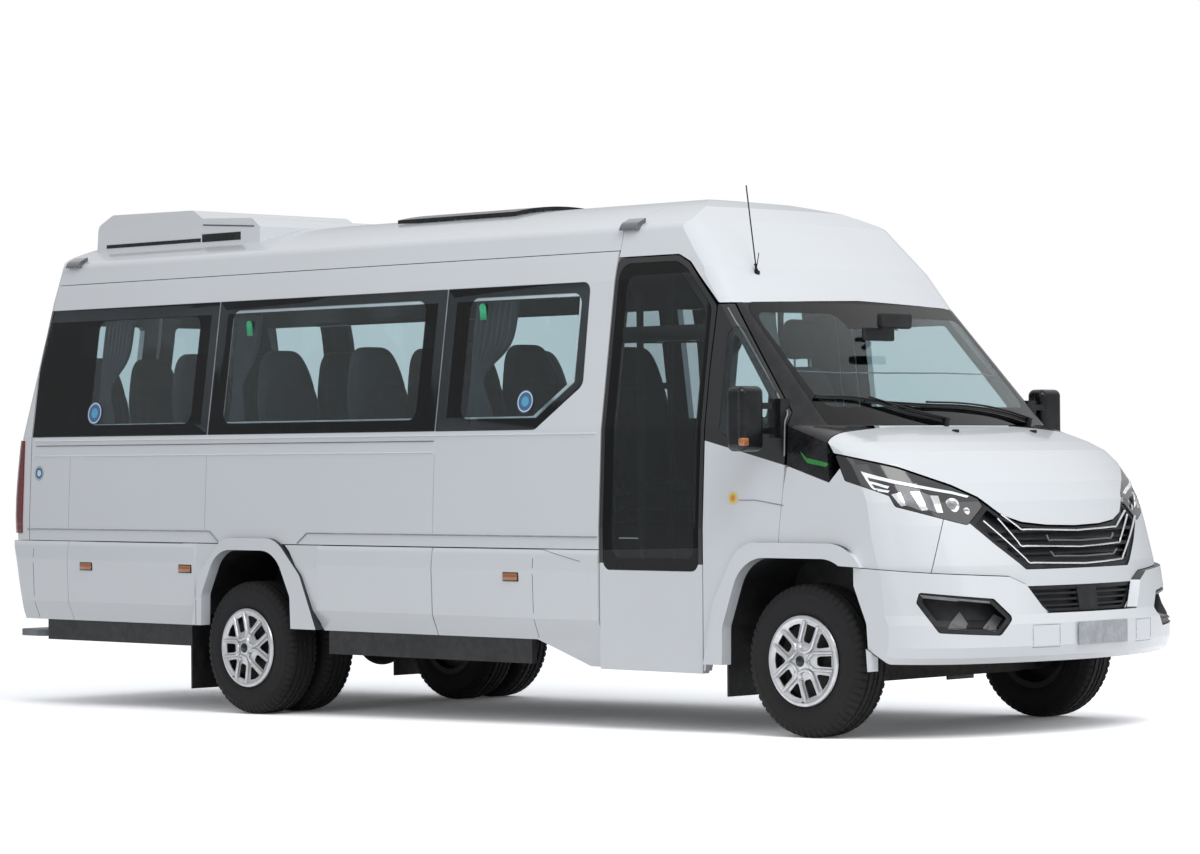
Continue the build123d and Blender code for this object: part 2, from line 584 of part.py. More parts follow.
def flare(outline, opening, bottom):
    """Lip round a wheel opening, standing out from the side, with a return inside."""
    ring = skin(40, side_region(outline, -FAR, -700), face=-FLARE_OUT)
    ring -= side_region(opening, -FAR, 0)
    ring &= box((-7000, 436), (-FAR, -700), (bottom, 1200))
    return ring - (bumper_region(-SEAM) & box((0, 1300), (-FAR, FAR), (300, 900)))


def arch_liner(opening, bottom, inner_y):
    """Black liner over a wheel, from the body side inwards."""
    outer = side_region(inside(opening, -16), -955, inner_y)
    inner = side_region(inside(opening, -2), -965, inner_y - 14)
    axle_gap = box((-90, 90), (inner_y - 60, inner_y + 20), (bottom - 20, 580))
    return ((outer - inner) & box((-7000, 3000), (-FAR, 0), (bottom, 1200))) - axle_gap


def underbody_sills():
    """Black strips under the skirts."""
    strips = []
    for rear, front, low in ((-6000, -4640, 300), (-3480, -1900, 292)):
        strips.append(box((rear, front), (-950, -915), (low, SKIRT_BOTTOM)))
    return strips


# ---------------------------------------------------------------- chassis and running gear
def ladder_frame():
    rails = [box((FRAME_END, 700), (side * RAIL_Y - RAIL_WIDTH / 2, side * RAIL_Y + RAIL_WIDTH / 2),
                 (RAIL_BOTTOM, RAIL_TOP)) for side in (1, -1)]
    crosses = [box((x - 40, x + 40), (-RAIL_Y, RAIL_Y), (RAIL_BOTTOM + 20, RAIL_TOP - 20))
               for x in (-6110, -5300, -4500, -3600, -2500, -1400, 640)]
    outriggers = [box((x - 25, x + 25), (side * 660 - 260, side * 660 + 260), (RAIL_TOP - 90, RAIL_TOP))
                  for x in (-5900, -5000, -3300, -2300) for side in (1, -1)]
    eye = box((TOW_EYE[0] - TOW_EYE_HALF, FRAME_END + 10), (-TOW_EYE_HALF, TOW_EYE_HALF),
              (TOW_EYE[1] - TOW_EYE_THICK / 2, TOW_EYE[1] + TOW_EYE_THICK / 2))
    eye -= Pos(TOW_EYE[0], 0, TOW_EYE[1]) * Cylinder(TOW_EYE_BORE, 4 * TOW_EYE_THICK)
    return joined(rails + crosses + outriggers + [eye])


def floor():
    """Flat floor with its step well at the passenger door and the cab's footwells."""
    edge = 946
    plate = box((-6240, -560), (-edge, edge), (RAIL_TOP, RAIL_TOP + FLOOR_THICK))
    plate &= form(BODY_WALL + 1)
    plate -= box((-1340, -560), (-FAR, -520), (0, FLOOR_TOP + 200))
    well = box((-1345, -560), (-930, -518), (400, RAIL_TOP + FLOOR_THICK))
    well -= box((-1325, -560), (-1000, -540), (430, 1000))
    foot = box((-580, -530), (-535, 940), (RAIL_TOP, RAIL_TOP + FLOOR_THICK))
    foot += box((-535, -14), (-535, 535), (RAIL_TOP, RAIL_TOP + FLOOR_THICK))
    firewall = box((-34, -14), (-535, 535), (RAIL_TOP, 1090))
    whole = joined([plate, well, foot, firewall])
    return whole - wheel_box() - left_of(wheel_box())


def tyre(width=TYRE_WIDTH):
    """Round-shouldered tyre about the Y axis at the origin."""
    half, shoulder = width / 2, 34
    rows = ((-half + 18, RIM_RADIUS, 8), (-half, RIM_RADIUS + 70, 60), (-half + 14, TYRE_RADIUS - 4, shoulder),
            (half - 14, TYRE_RADIUS - 4, shoulder), (half, RIM_RADIUS + 70, 60), (half - 18, RIM_RADIUS, 8))
    section = make_face(rows_to_wire(Plane.YZ, rows))
    crown = Plane.YZ * Pos(0, TYRE_RADIUS - 5) * Rectangle(2 * (half - 40), 10)
    return revolve(section, Axis.Y) + revolve(crown, Axis.Y)


def rim():
    """Steel wheel with its domed trim about the Y axis at the origin, outside towards -Y."""
    half, disc = TYRE_WIDTH / 2, -30
    barrel_rows = (  # y, radius
        (-half + 4, RIM_RADIUS + 18), (-half + 14, RIM_RADIUS - 1), (half - 14, RIM_RADIUS - 1),
        (half - 4, RIM_RADIUS + 18), (half - 10, RIM_RADIUS - 14), (disc + 12, RIM_RADIUS - 16),
        (disc + 12, AXLE_STUB), (disc, AXLE_STUB), (disc, RIM_RADIUS - 16), (-half + 10, RIM_RADIUS - 14))
    return revolve(make_face(Plane.YZ * Polyline(*barrel_rows, close=True)), Axis.Y)


def wheel_trim():
    """Dished cover with paired spokes, its hub cap standing out."""
    half = TYRE_WIDTH / 2
    dish_rows = (  # y, radius
        (-half + 4, RIM_RADIUS + 12), (-half - 4, RIM_RADIUS + 19), (-half - 8, RIM_RADIUS + 8),
        (-half + 2, RIM_RADIUS - 14), (-half - 14, 70), (-half - 30, 44), (-half - 32, 0), (-half - 18, 0),
        (-half - 4, 66), (-half + 13, RIM_RADIUS - 14))
    dish = revolve(make_face(Plane.YZ * Polyline(*dish_rows, close=True)), Axis.Y)
    slot = Plane.XZ * Pos(128, 0) * SlotOverall(86, 24)
    cut = extrude(slot, amount=400, both=True)
    for spoke in range(SPOKES):
        for side in (1, -1):
            dish -= Rot(0, (spoke + 0.19 * side) * 360 / SPOKES, 0) * cut
    return dish


def hub(inner_y, outer_y, radius):
    """Solid hub between two y, about the wheel's axis."""
    return Pos(0, (inner_y + outer_y) / 2, 0) * Rot(90, 0, 0) * Cylinder(radius, outer_y - inner_y)


def front_wheel():
    """Tyre and rim of the right front wheel, about the wheel's centre."""
    wheel = joined([rim(), wheel_trim(), hub(-30, 40, HUB_RADIUS)])
    wheel -= hub(-20, 200, AXLE_STUB + RUNNING_GAP)
    return tyre(), wheel


def rear_wheels():
    """Twin tyres and their joined rims, about the outer wheel's centre."""
    step = REAR_OUTER_TYRE_Y - REAR_INNER_TYRE_Y
    tyres = list(tyre().solids()) + list((Pos(0, step, 0) * tyre()).solids())
    inner_rim = Pos(0, step, 0) * mirror(rim(), Plane.XZ)
    pair = joined([rim(), wheel_trim(), inner_rim, hub(-30, step + 60, HUB_RADIUS)])
    pair -= hub(-20, step + 200, AXLE_STUB + RUNNING_GAP)
    return tyres, pair


def knuckle():
    """Right steering knuckle about the wheel's centre: kingpin boss, stub and steering arm."""
    stub = hub(-20 + RUNNING_GAP, FRONT_TYRE_Y - KINGPIN_Y, AXLE_STUB)
    boss = Pos(0, FRONT_TYRE_Y - KINGPIN_Y, 0) * Cylinder(32, 150)
    arm = box((-170, 0), (FRONT_TYRE_Y - KINGPIN_Y - 4, FRONT_TYRE_Y - KINGPIN_Y + 16), (-50, -30))
    disc = hub(58, 74, 120)
    pin_hole = Pos(0, FRONT_TYRE_Y - KINGPIN_Y, 0) * Cylinder(KINGPIN + PIN_GAP, 400)
    return joined([stub, boss, arm, disc]) - pin_hole


def front_axle():
    """Cross-beam, forks and kingpins that carry the knuckles, on the ground frame."""
    beam = box((-60, 60), (-600, 600), (250, 330))
    pieces = [beam]
    for side in (1, -1):
        y = side * KINGPIN_Y
        pieces.append(Pos(0, y, TYRE_RADIUS) * Cylinder(KINGPIN, 210))
        for z in (TYRE_RADIUS - 98, TYRE_RADIUS + 98):
            pieces.append(box((-34, 34), sorted((y - side * 170, y + side * 26)), (z - 20, z + 20)))
        pieces.append(box((-34, 34), sorted((side * 560, side * 610)), (250, 488)))
        pieces.append(box((-40, 40), sorted((side * 380, side * 600)), (440, 520)))
        pieces.append(box((-60, 60), (side * RAIL_Y - 40, side * RAIL_Y + 40), (480, 558)))
    return joined(pieces)


def rear_axle():
    """Axle tube with its differential, stub ends and leaf springs, on the ground frame."""
    end = REAR_OUTER_TYRE_Y + 20 - RUNNING_GAP
    tube_ = Pos(-WHEELBASE, 0, TYRE_RADIUS) * Rot(90, 0, 0) * Cylinder(AXLE_STUB, 2 * end)
    case = Pos(-WHEELBASE, 0, TYRE_RADIUS) * Sphere(140)
    shaft = Pos(-WHEELBASE, 0, TYRE_RADIUS) * Rot(90, 0, 0) * Cylinder(60, 900)
    pieces = [tube_, case, shaft]
    for side in (1, -1):
        y = side * RAIL_Y
        pieces.append(box((-WHEELBASE - 60, -WHEELBASE + 60), (y - 40, y + 40), (TYRE_RADIUS, 470)))
        spring = side_region(((-WHEELBASE - 680, 560, 0), (-WHEELBASE - 640, 600, 0), (-WHEELBASE, 480, 0),
                              (-WHEELBASE + 640, 600, 0), (-WHEELBASE + 680, 560, 0), (-WHEELBASE + 100, 432, 0),
                              (-WHEELBASE - 100, 432, 0)), y - 35, y + 35)
        pieces.append(spring)
        for end_x in (-WHEELBASE - 660, -WHEELBASE + 660):
            top = RAIL_BOTTOM - (end_x + 22) * sin(radians(BODY_RAKE)) - 1
            pieces.append(box((end_x - 22, end_x + 22), (y - 30, y + 30), (570, top)))
    return joined(pieces)


def wheel_box():
    """Space of the right rear wheel's liner, cut from the floor and the seats over it."""
    return side_region(inside(REAR_ARCH, -17), -956, -484)


def engine():
    return box((0, 560), (-300, 300), (480, 1080))


def tanks():
    """Fuel tank on the left, silencer and battery tray on the right, under the floor."""
    tank = box((-2260, -1500), (480, 860), (330, 690))
    silencer = Pos(-2750, -660, 470) * Rot(0, 90, 0) * Cylinder(130, 700)
    hanger = box((-2760, -2740), (-660, -640), (590, RAIL_TOP))
    strap = box((-1900, -1860), (RAIL_Y + RAIL_WIDTH / 2, 480), (RAIL_BOTTOM + 20, 690))
    return [tank + strap, silencer + hanger]


def mudflaps():
    rear = box((-4626, -4614), (-985, -565), (60, SKIRT_BOTTOM - 2))
    rear += box((-4626, -4614), (-880, -565), (100, 600))
    rear += box((-4630, -4610), (-600, -RAIL_Y - RAIL_WIDTH / 2), (RAIL_BOTTOM + 10, RAIL_BOTTOM + 50))
    front = box((-533, -521), (-955, -740), (176, 520))
    return both(rear) + both(front)


# ---------------------------------------------------------------- interior
def seat(front, y, width, floor_z, cushion=460):
    """Seat facing forward with its back, headrest and plinth; front is the x of its cushion's front."""
    base, rear = floor_z + SEAT_BASE, front - cushion
    low_y, high_y = y - width / 2, y + width / 2
    plinth = box((rear + 40, front - 60), (low_y + 90, high_y - 90), (floor_z, base))
    pad = box((rear, front), (low_y, high_y), (base, base + 130))
    pad = fillet(pad.edges().filter_by(Axis.Y), 40)
    back_rows = ((rear + 60, base + 60, 20), (rear - 90, base + 760, 40), (rear - 190, base + 760, 40),
                 (rear - 60, base + 60, 20))
    back = side_region(back_rows, low_y, high_y)
    head = box((rear - 185, rear - 100), (y - 130, y + 130), (base + 740, base + 930))
    head = fillet(head.edges().filter_by(Axis.X), 40)
    return joined([plinth, pad, back, head])


def all_seats():
    """Rows with an aisle, a bench across the rear and the driver's seat."""
    seats = []
    for x in SEAT_ROWS:
        for y in SEAT_LINES:
            seats.append(seat(x, y, SEAT_WIDTH, FLOOR_TOP - 3) - wheel_box() - left_of(wheel_box()))
    for i in range(REAR_SEATS):
        y = (i - (REAR_SEATS - 1) / 2) * REAR_SEAT_PITCH
        seats.append(seat(-5330, y, SEAT_WIDTH - 20, FLOOR_TOP - 3))
    return seats + [seat(-690, 480, 500, FLOOR_TOP - 3)]


def dashboard():
    rows = ((-60, 1395, 30), (-36, 1100, 0), (-36, 940, 0), (-210, 960, 40), (-330, 1180, 40), (-320, 1290, 60),
            (-180, 1400, 40))
    dash = side_region(rows, -800, 800)
    stalk = side_region(((-300, 1200, 0), (-300, 1250, 0), (-398, 1270, 0), (-412, 1234, 0)), 455, 505)
    return dash + stalk


def steering_wheel():
    """Rim, three spokes and boss about the column's axis."""
    ring = Torus(STEER_RADIUS, 15)
    boss = Cylinder(55, 44)
    spokes = [Rot(0, 0, a) * Pos(125, 0, 0) * Box(160, 36, 16) for a in (0, 90, 180)]
    wheel = joined([ring, boss] + spokes)
    return Pos(*STEER_CENTRE) * Rot(0, -(90 - STEER_TILT), 0) * Rot(0, 0, 90) * wheel


# ---------------------------------------------------------------- outside fittings
def mirror_head():
    """Right-hand mirror with its two arms and foot."""
    arms = [box((-196, -156), (-1130, -930), (z, z + 30)) for z in (1460, 1580)]
    foot = box((-206, -130), (-1000, -930), (1440, 1630))
    head = fillet(box((-262, -150), (-1255, -1085), (1376, 1690)).edges(), 34)
    return joined([head, foot] + arms) - form(0)


def air_conditioner():
    """Two-step housing on the rear of the roof."""
    half = 600
    rows = ((-5960, 2560, 0), (-5940, 2760, 50), (-5800, 2822, 80), (-5050, 2812, 60), (-4960, 2760, 20),
            (-4520, 2742, 40), (-4450, 2690, 0), (-4450, 2560, 0))
    unit = side_region(rows, -half, half)
    return unit - form(0)


def hatch_lid():
    """Lid that follows the roof, standing on a low rim."""
    return box(HATCH_X, (-HATCH_HALF, HATCH_HALF), (2640, 2760)) & (form(-26) - form(-5))


def antenna():
    base = Pos(-690, -560, 2290) * Cylinder(24, 60)
    rod = Pos(-690, -560, 2300) * Rot(0, -22, 0) * Pos(0, 0, 260) * Cylinder(4, 520)
    return (base + rod) - form(0)


def marker_lamps():
    lamps = []
    for x in (-1304, -5900):
        lamps += both(skin(-1, box((x - 60, x + 60), (-860, -760), (2505, 2575)), face=-26))
    return lamps


def tail_lamps():
    return [solid for lamp in tail_lamp_regions(0) for solid in skin(TRIM_WALL, lamp, face=-8).solids()]


def rear_step():
    step = box((-6555, -6290), (-760, 760), (300, 340))
    step = fillet(step.edges().filter_by(Axis.Z), 60)
    arms = []
    for side in (1, -1):
        y_range = (side * RAIL_Y - 20, side * RAIL_Y + 20)
        arms.append(box((-6400, -6100), y_range, (330, 410)) + box((-6150, -6100), y_range, (330, RAIL_BOTTOM)))
    return joined([step] + arms)


def number_plate():
    return box((1031, 1037), (-190, 190), (446, 556))


NODES = {}


def put(name, shape, sprung=True):
    NODES[name] = (shape, sprung)


def body_nodes():
    put("ladder_frame", ladder_frame())
    put("floor", floor())
    put("roof_panel", roof_panel())
    put("roof_cap", roof_cap())
    side = body_side()
    put("side_right", side)
    put("side_left", left_of(side))
    put("side_glass", both(Compound(side_panes())) + list(cab_pane().solids()))
    put("rear_wall", rear_wall())
    put("cab_panels", list(cab_side(True).solids()) + list(left_of(cab_side(False)).solids()))
    put("fenders", both(fender()))
    put("front_face", front_face())
    put("grille", grille_panel())
    put("lower_grilles", list(lower_grille().solids()) + both(fog_recess()))
    put("front_bumper", front_bumper())
    put("headlamps", both(headlamp()))
    put("number_plate", number_plate())
    put("windscreen", windscreen())
    put("pillar_covers", both(pillar_cover()))
    put("skirts", [s for piece in skirts() for s in both(piece)])
    put("rear_bumper", rear_bumper())
    put("flares", both(flare(FRONT_FLARE, FRONT_ARCH, 335)) + both(flare(REAR_FLARE, REAR_ARCH, 425)))
    put("arch_liners", both(arch_liner(FRONT_LINER, 400, -560)) + both(arch_liner(REAR_ARCH, 480, -490)))
    put("mudflaps_and_sills", mudflaps() + [s for strip in underbody_sills() for s in both(strip)])
    put("engine", engine())
    put("tanks", tanks())
    put("seats", all_seats())
    put("dashboard", dashboard())
    put("mirror_right", mirror_head())
    put("air_conditioner", air_conditioner())
    put("antenna", antenna())
    put("marker_lamps", marker_lamps())
    put("tail_lamps", tail_lamps())
    put("rear_step", rear_step())
    put("front_axle", front_axle(), False)
    put("rear_axle", rear_axle(), False)


def moving_nodes():
    put("driver_door", left_of(driver_door()))
    put("driver_door_glass", left_of(driver_pane()))
    put("mirror_left", left_of(mirror_head()))
    put("plug_door", plug_door())
    put("plug_door_glass", plug_pane())
    put("plug_door_arms", door_arms())
    leaf, pane = rear_door_leaf(), rear_door_pane()
    for side, piece, glass in (("right", leaf, pane), ("left", left_of(leaf), left_of(pane))):
        put(f"rear_door_{side}", piece)
        put(f"rear_door_glass_{side}", glass)
    put("bonnet", bonnet_panel())
    put("roof_hatch", hatch_lid())
    put("steering_wheel", steering_wheel())
    tyre_solid, wheel = front_wheel()
    joint_piece = knuckle()
    tyres, pair = rear_wheels()
    for side in ("right", "left"):
        turn = left_of if side == "left" else (lambda shape: shape)
        front = Pos(0, -FRONT_TYRE_Y, TYRE_RADIUS)
        rear = Pos(-WHEELBASE, -REAR_OUTER_TYRE_Y, TYRE_RADIUS)
        put(f"knuckle_{side}", turn(front * joint_piece), False)
        put(f"tyre_front_{side}", turn(front * tyre_solid), False)
        put(f"rim_front_{side}", turn(front * wheel), False)
        put(f"tyres_rear_{side}", turn(rear * Compound(tyres)), False)
        put(f"rims_rear_{side}", turn(rear * pair), False)


def to_ground(shape, sprung):
    """A shape from the body frame to the ground frame: the sprung body pitches about the front axle."""
    solids = shape if isinstance(shape, list) else list(shape.solids())
    whole = Compound([s for item in solids for s in item.solids()])
    if sprung:
        whole = Pos(0, 0, TYRE_RADIUS) * Rot(0, BODY_RAKE, 0) * Pos(0, 0, -TYRE_RADIUS) * whole
    return whole


def main():
    os.makedirs("parts", exist_ok=True)
    body_nodes()
    moving_nodes()
    placed = {name: to_ground(shape, sprung) for name, (shape, sprung) in NODES.items()}
    bounds = Compound(list(placed.values())).bounding_box()
    shift = -(bounds.min.X + bounds.max.X) / 2
    print(f"front axle at x = {shift:.3f}; size {bounds.size.X:.1f} x {bounds.size.Y:.1f} x {bounds.size.Z:.1f}")
    for name, shape in placed.items():
        export_step(Pos(shift, 0, 0) * shape, f"parts/{name}.step")


if __name__ == "__main__":
    main()
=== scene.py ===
"""Looks of a high-roof minibus: finishes, trim, running gear, cabin, light and camera.

Lengths are metres. Shapes are drawn in the level body frame: x = 0 at the front axle, +x forward,
+y to the left, z = 0 on the ground. They are then leaned nose-down with the sprung body. Wheels
stay in the upright ground frame.
"""

import json
import logging
import math
from dataclasses import dataclass
from enum import Enum
from typing import Callable, Optional, Sequence, Union

import bpy
from mathutils import Matrix, Vector
from mathutils.bvhtree import BVHTree

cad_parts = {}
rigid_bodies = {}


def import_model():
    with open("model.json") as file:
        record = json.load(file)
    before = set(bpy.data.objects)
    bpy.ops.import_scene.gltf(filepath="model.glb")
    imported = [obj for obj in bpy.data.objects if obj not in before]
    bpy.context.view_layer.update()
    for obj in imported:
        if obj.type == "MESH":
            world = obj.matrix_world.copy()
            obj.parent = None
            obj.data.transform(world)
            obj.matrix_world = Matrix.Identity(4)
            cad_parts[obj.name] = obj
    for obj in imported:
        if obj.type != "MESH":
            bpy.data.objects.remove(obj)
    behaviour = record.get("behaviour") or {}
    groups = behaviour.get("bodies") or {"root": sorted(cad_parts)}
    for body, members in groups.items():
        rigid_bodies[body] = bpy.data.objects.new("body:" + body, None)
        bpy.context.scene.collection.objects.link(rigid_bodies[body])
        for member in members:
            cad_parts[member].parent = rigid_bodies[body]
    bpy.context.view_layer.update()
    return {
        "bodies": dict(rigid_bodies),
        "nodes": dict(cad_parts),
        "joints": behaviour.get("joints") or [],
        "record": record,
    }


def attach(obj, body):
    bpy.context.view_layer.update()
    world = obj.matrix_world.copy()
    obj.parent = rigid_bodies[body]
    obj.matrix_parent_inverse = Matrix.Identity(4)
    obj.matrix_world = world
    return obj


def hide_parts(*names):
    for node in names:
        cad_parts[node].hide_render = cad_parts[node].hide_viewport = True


log = logging.getLogger("minibus")

Point = tuple[float, float, float]
Pair = tuple[float, float]
Colour = tuple[float, float, float]
Object = bpy.types.Object
Material = bpy.types.Material
Tree = bpy.types.NodeTree
Node = bpy.types.Node
Socket = bpy.types.NodeSocket
Value = Union[float, tuple, Socket]

AXLE_X = 2.757819
AXLE_HEIGHT = 0.370
RAKE = math.radians(0.86)
REAR_AXLE_X = -4.100

# Edges of the gloss black and clear areas, in body coordinates.
BELT_HEIGHT = 1.2806
BELT_SLOPE = 0.234
BELT_FROM_X = -0.664
STEP_HEIGHT = 0.8205
PAINT_EDGE = 0.0015
CAB_PANE_FROM_X = -1.05

# The cabin's middle line, which tells a shell's inner faces from its outer ones.
CABIN_REAR_X = -5.6
CABIN_MIDDLE_Z = 1.35

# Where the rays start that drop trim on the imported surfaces.
RAY_START_SIDE = 1.6
RAY_START_CORNER = 3.0
RAY_START_FRONT = 2.0
RAY_START_TOP = 4.0


class Stance(Enum):
    """Which frame a shape is drawn in."""

    BODY = "body"
    GROUND = "ground"

    def matrix(self) -> Matrix:
        """Turns points of this frame into the row frame."""
        if self is Stance.GROUND:
            return Matrix.Translation((AXLE_X, 0, 0))
        lift = Matrix.Translation((AXLE_X, 0, AXLE_HEIGHT))
        return lift @ Matrix.Rotation(RAKE, 4, "Y") @ Matrix.Translation((0, 0, -AXLE_HEIGHT))


class Side(Enum):
    """The vehicle's right and left, by the sign of y."""

    RIGHT = -1
    LEFT = 1

    @property
    def word(self) -> str:
        """The side's name as the parts use it."""
        return "right" if self is Side.RIGHT else "left"


def read_rows(rows: Sequence[Pair], level: float) -> float:
    """A value read between rows, and the last row's value past them.

    Args:
        rows: Level and value of each row, by rising level.
        level: Where it is read.

    Returns:
        The value.
    """
    for (l0, v0), (l1, v1) in zip(rows, rows[1:]):
        if level <= l1:
            return v0 + (v1 - v0) * (level - l0) / (l1 - l0)
    return rows[-1][1]


# ---------------------------------------------------------------- node trees
class Wiring:
    """Short calls that place and join the nodes of one tree."""

    def __init__(self, tree: Tree) -> None:
        """Keeps the tree whose nodes are placed."""
        self.tree = tree

    def add(self, kind: str, **settings: object) -> Node:
        """Places a node.

        Args:
            kind: The node's type without its "ShaderNode" start.
            **settings: Values for the node's own properties.

        Returns:
            The new node.
        """
        node = self.tree.nodes.new("ShaderNode" + kind)
        for key, value in settings.items():
            setattr(node, key, value)
        return node

    def feed(self, socket: Socket, value: Value) -> None:
        """Links an output to a socket, or writes a plain value on it.

        Args:
            socket: The input to fill.
            value: An output socket, a number, or a tuple.
        """
        if isinstance(value, Socket):
            self.tree.links.new(value, socket)
        elif socket.type == "RGBA" and len(value) == 3:
            socket.default_value = (*value, 1.0)
        else:
            socket.default_value = value

    def fill(self, node: Node, **values: Value) -> None:
        """Fills a node's inputs.

        Args:
            node: The node.
            **values: Its inputs by name, with _ for a space.
        """
        for key, value in values.items():
            self.feed(node.inputs[key.replace("_", " ")], value)

    def math(self, operation: str, a: Value, b: Value = 0.0, clamp: bool = False) -> Socket:
        """One Math node.

        Args:
            operation: The node's operation.
            a: First value.
            b: Second value.
            clamp: Whether the result stays between 0 and 1.

        Returns:
            The result.
        """
        node = self.add("Math", operation=operation, use_clamp=clamp)
        self.feed(node.inputs[0], a)
        self.feed(node.inputs[1], b)
        return node.outputs[0]

    def times(self, a: Value, b: Value, clamp: bool = False) -> Socket:
        """The product of two values, kept between 0 and 1 if clamp is set."""
        return self.math("MULTIPLY", a, b, clamp)

    def plus(self, a: Value, b: Value, clamp: bool = False) -> Socket:
        """The sum of two values, kept between 0 and 1 if clamp is set."""
        return self.math("ADD", a, b, clamp)

    def vector(self, operation: str, a: Value, b: Value = (0.0, 0.0, 0.0)) -> Socket:
        """One Vector Math node.

        Args:
            operation: The node's operation.
            a: First vector.
            b: Second vector.

        Returns:
            Its vector, or its number for a length or dot product.
        """
        node = self.add("VectorMath", operation=operation)
        self.feed(node.inputs[0], a)
        self.feed(node.inputs[1], b)
        return node.outputs["Value" if operation in ("LENGTH", "DOT_PRODUCT") else "Vector"]

    def mix(self, factor: Value, a: Value, b: Value) -> Socket:
        """Colour a where factor is 0 and b where it is 1.

        Args:
            factor: The share of b.
            a: First colour.
            b: Second colour.

        Returns:
            The mixed colour.
        """
        node = self.add("Mix", data_type="RGBA")
        self.feed(node.inputs[0], factor)
        self.feed(node.inputs[6], a)
        self.feed(node.inputs[7], b)
        return node.outputs[2]

    def span(self, value: Value, low: Value, high: Value, start: float = 0.0, end: float = 1.0) -> Socket:
        """A smooth step of a value between two levels.

        Args:
            value: What is stepped.
            low: Where the step begins.
            high: Where it ends.
            start: The result below the step.
            end: The result above it.

        Returns:
            The stepped value.
        """
        node = self.add("MapRange", interpolation_type="SMOOTHSTEP")
        for socket, item in zip(node.inputs, (value, low, high, start, end)):
            self.feed(socket, item)
        return node.outputs[0]

    def noise(self, vector: Value, scale: Value, detail: float = 3.0, roughness: float = 0.5) -> Socket:
        """Noise between 0 and 1.

        Args:
            vector: Where it is read.
            scale: How fine it is.
            detail: Its octaves.
            roughness: How strong the finer ones are.

        Returns:
            The noise's factor.
        """
        node = self.add("TexNoise")
        self.fill(node, Vector=vector, Scale=scale, Detail=detail, Roughness=roughness)
        return node.outputs["Fac"]

    def bump(self, height: Value, distance: float, strength: float = 1.0) -> Socket:
        """A normal raised by a height.

        Args:
            height: The height, 0 to 1.
            distance: What a height of 1 stands for, in metres.
            strength: The bump's strength.

        Returns:
            The bumped normal.
        """
        node = self.add("Bump")
        self.fill(node, Strength=strength, Distance=distance, Height=height)
        return node.outputs["Normal"]

    def object_point(self) -> Socket:
        """Object coordinates, which are the row frame's for every finished piece."""
        return self.add("TexCoord").outputs["Object"]

    def body_point(self) -> Socket:
        """Object coordinates turned back into the level body frame."""
        node = self.add("Mapping")
        back = Stance.BODY.matrix().inverted()
        node.inputs["Rotation"].default_value = (0, -RAKE, 0)
        node.inputs["Location"].default_value = back.translation
        self.feed(node.inputs["Vector"], self.object_point())
        return node.outputs["Vector"]

    def parts(self, vector: Value) -> list[Socket]:
        """The x, y and z of a vector."""
        node = self.add("SeparateXYZ")
        self.feed(node.inputs[0], vector)
        return list(node.outputs)


class Effect(Enum):
    """Shader effects that several finishes share."""

    ROAD_FILM = "road_film"
    PAINT_SKIN = "paint_skin"
    FINE_GRAIN = "fine_grain"
    CLOTH_WEAVE = "cloth_weave"
    EDGE_WEAR = "edge_wear"
    ROUNDED_AREA = "rounded_area"
    INNER_FACE = "inner_face"


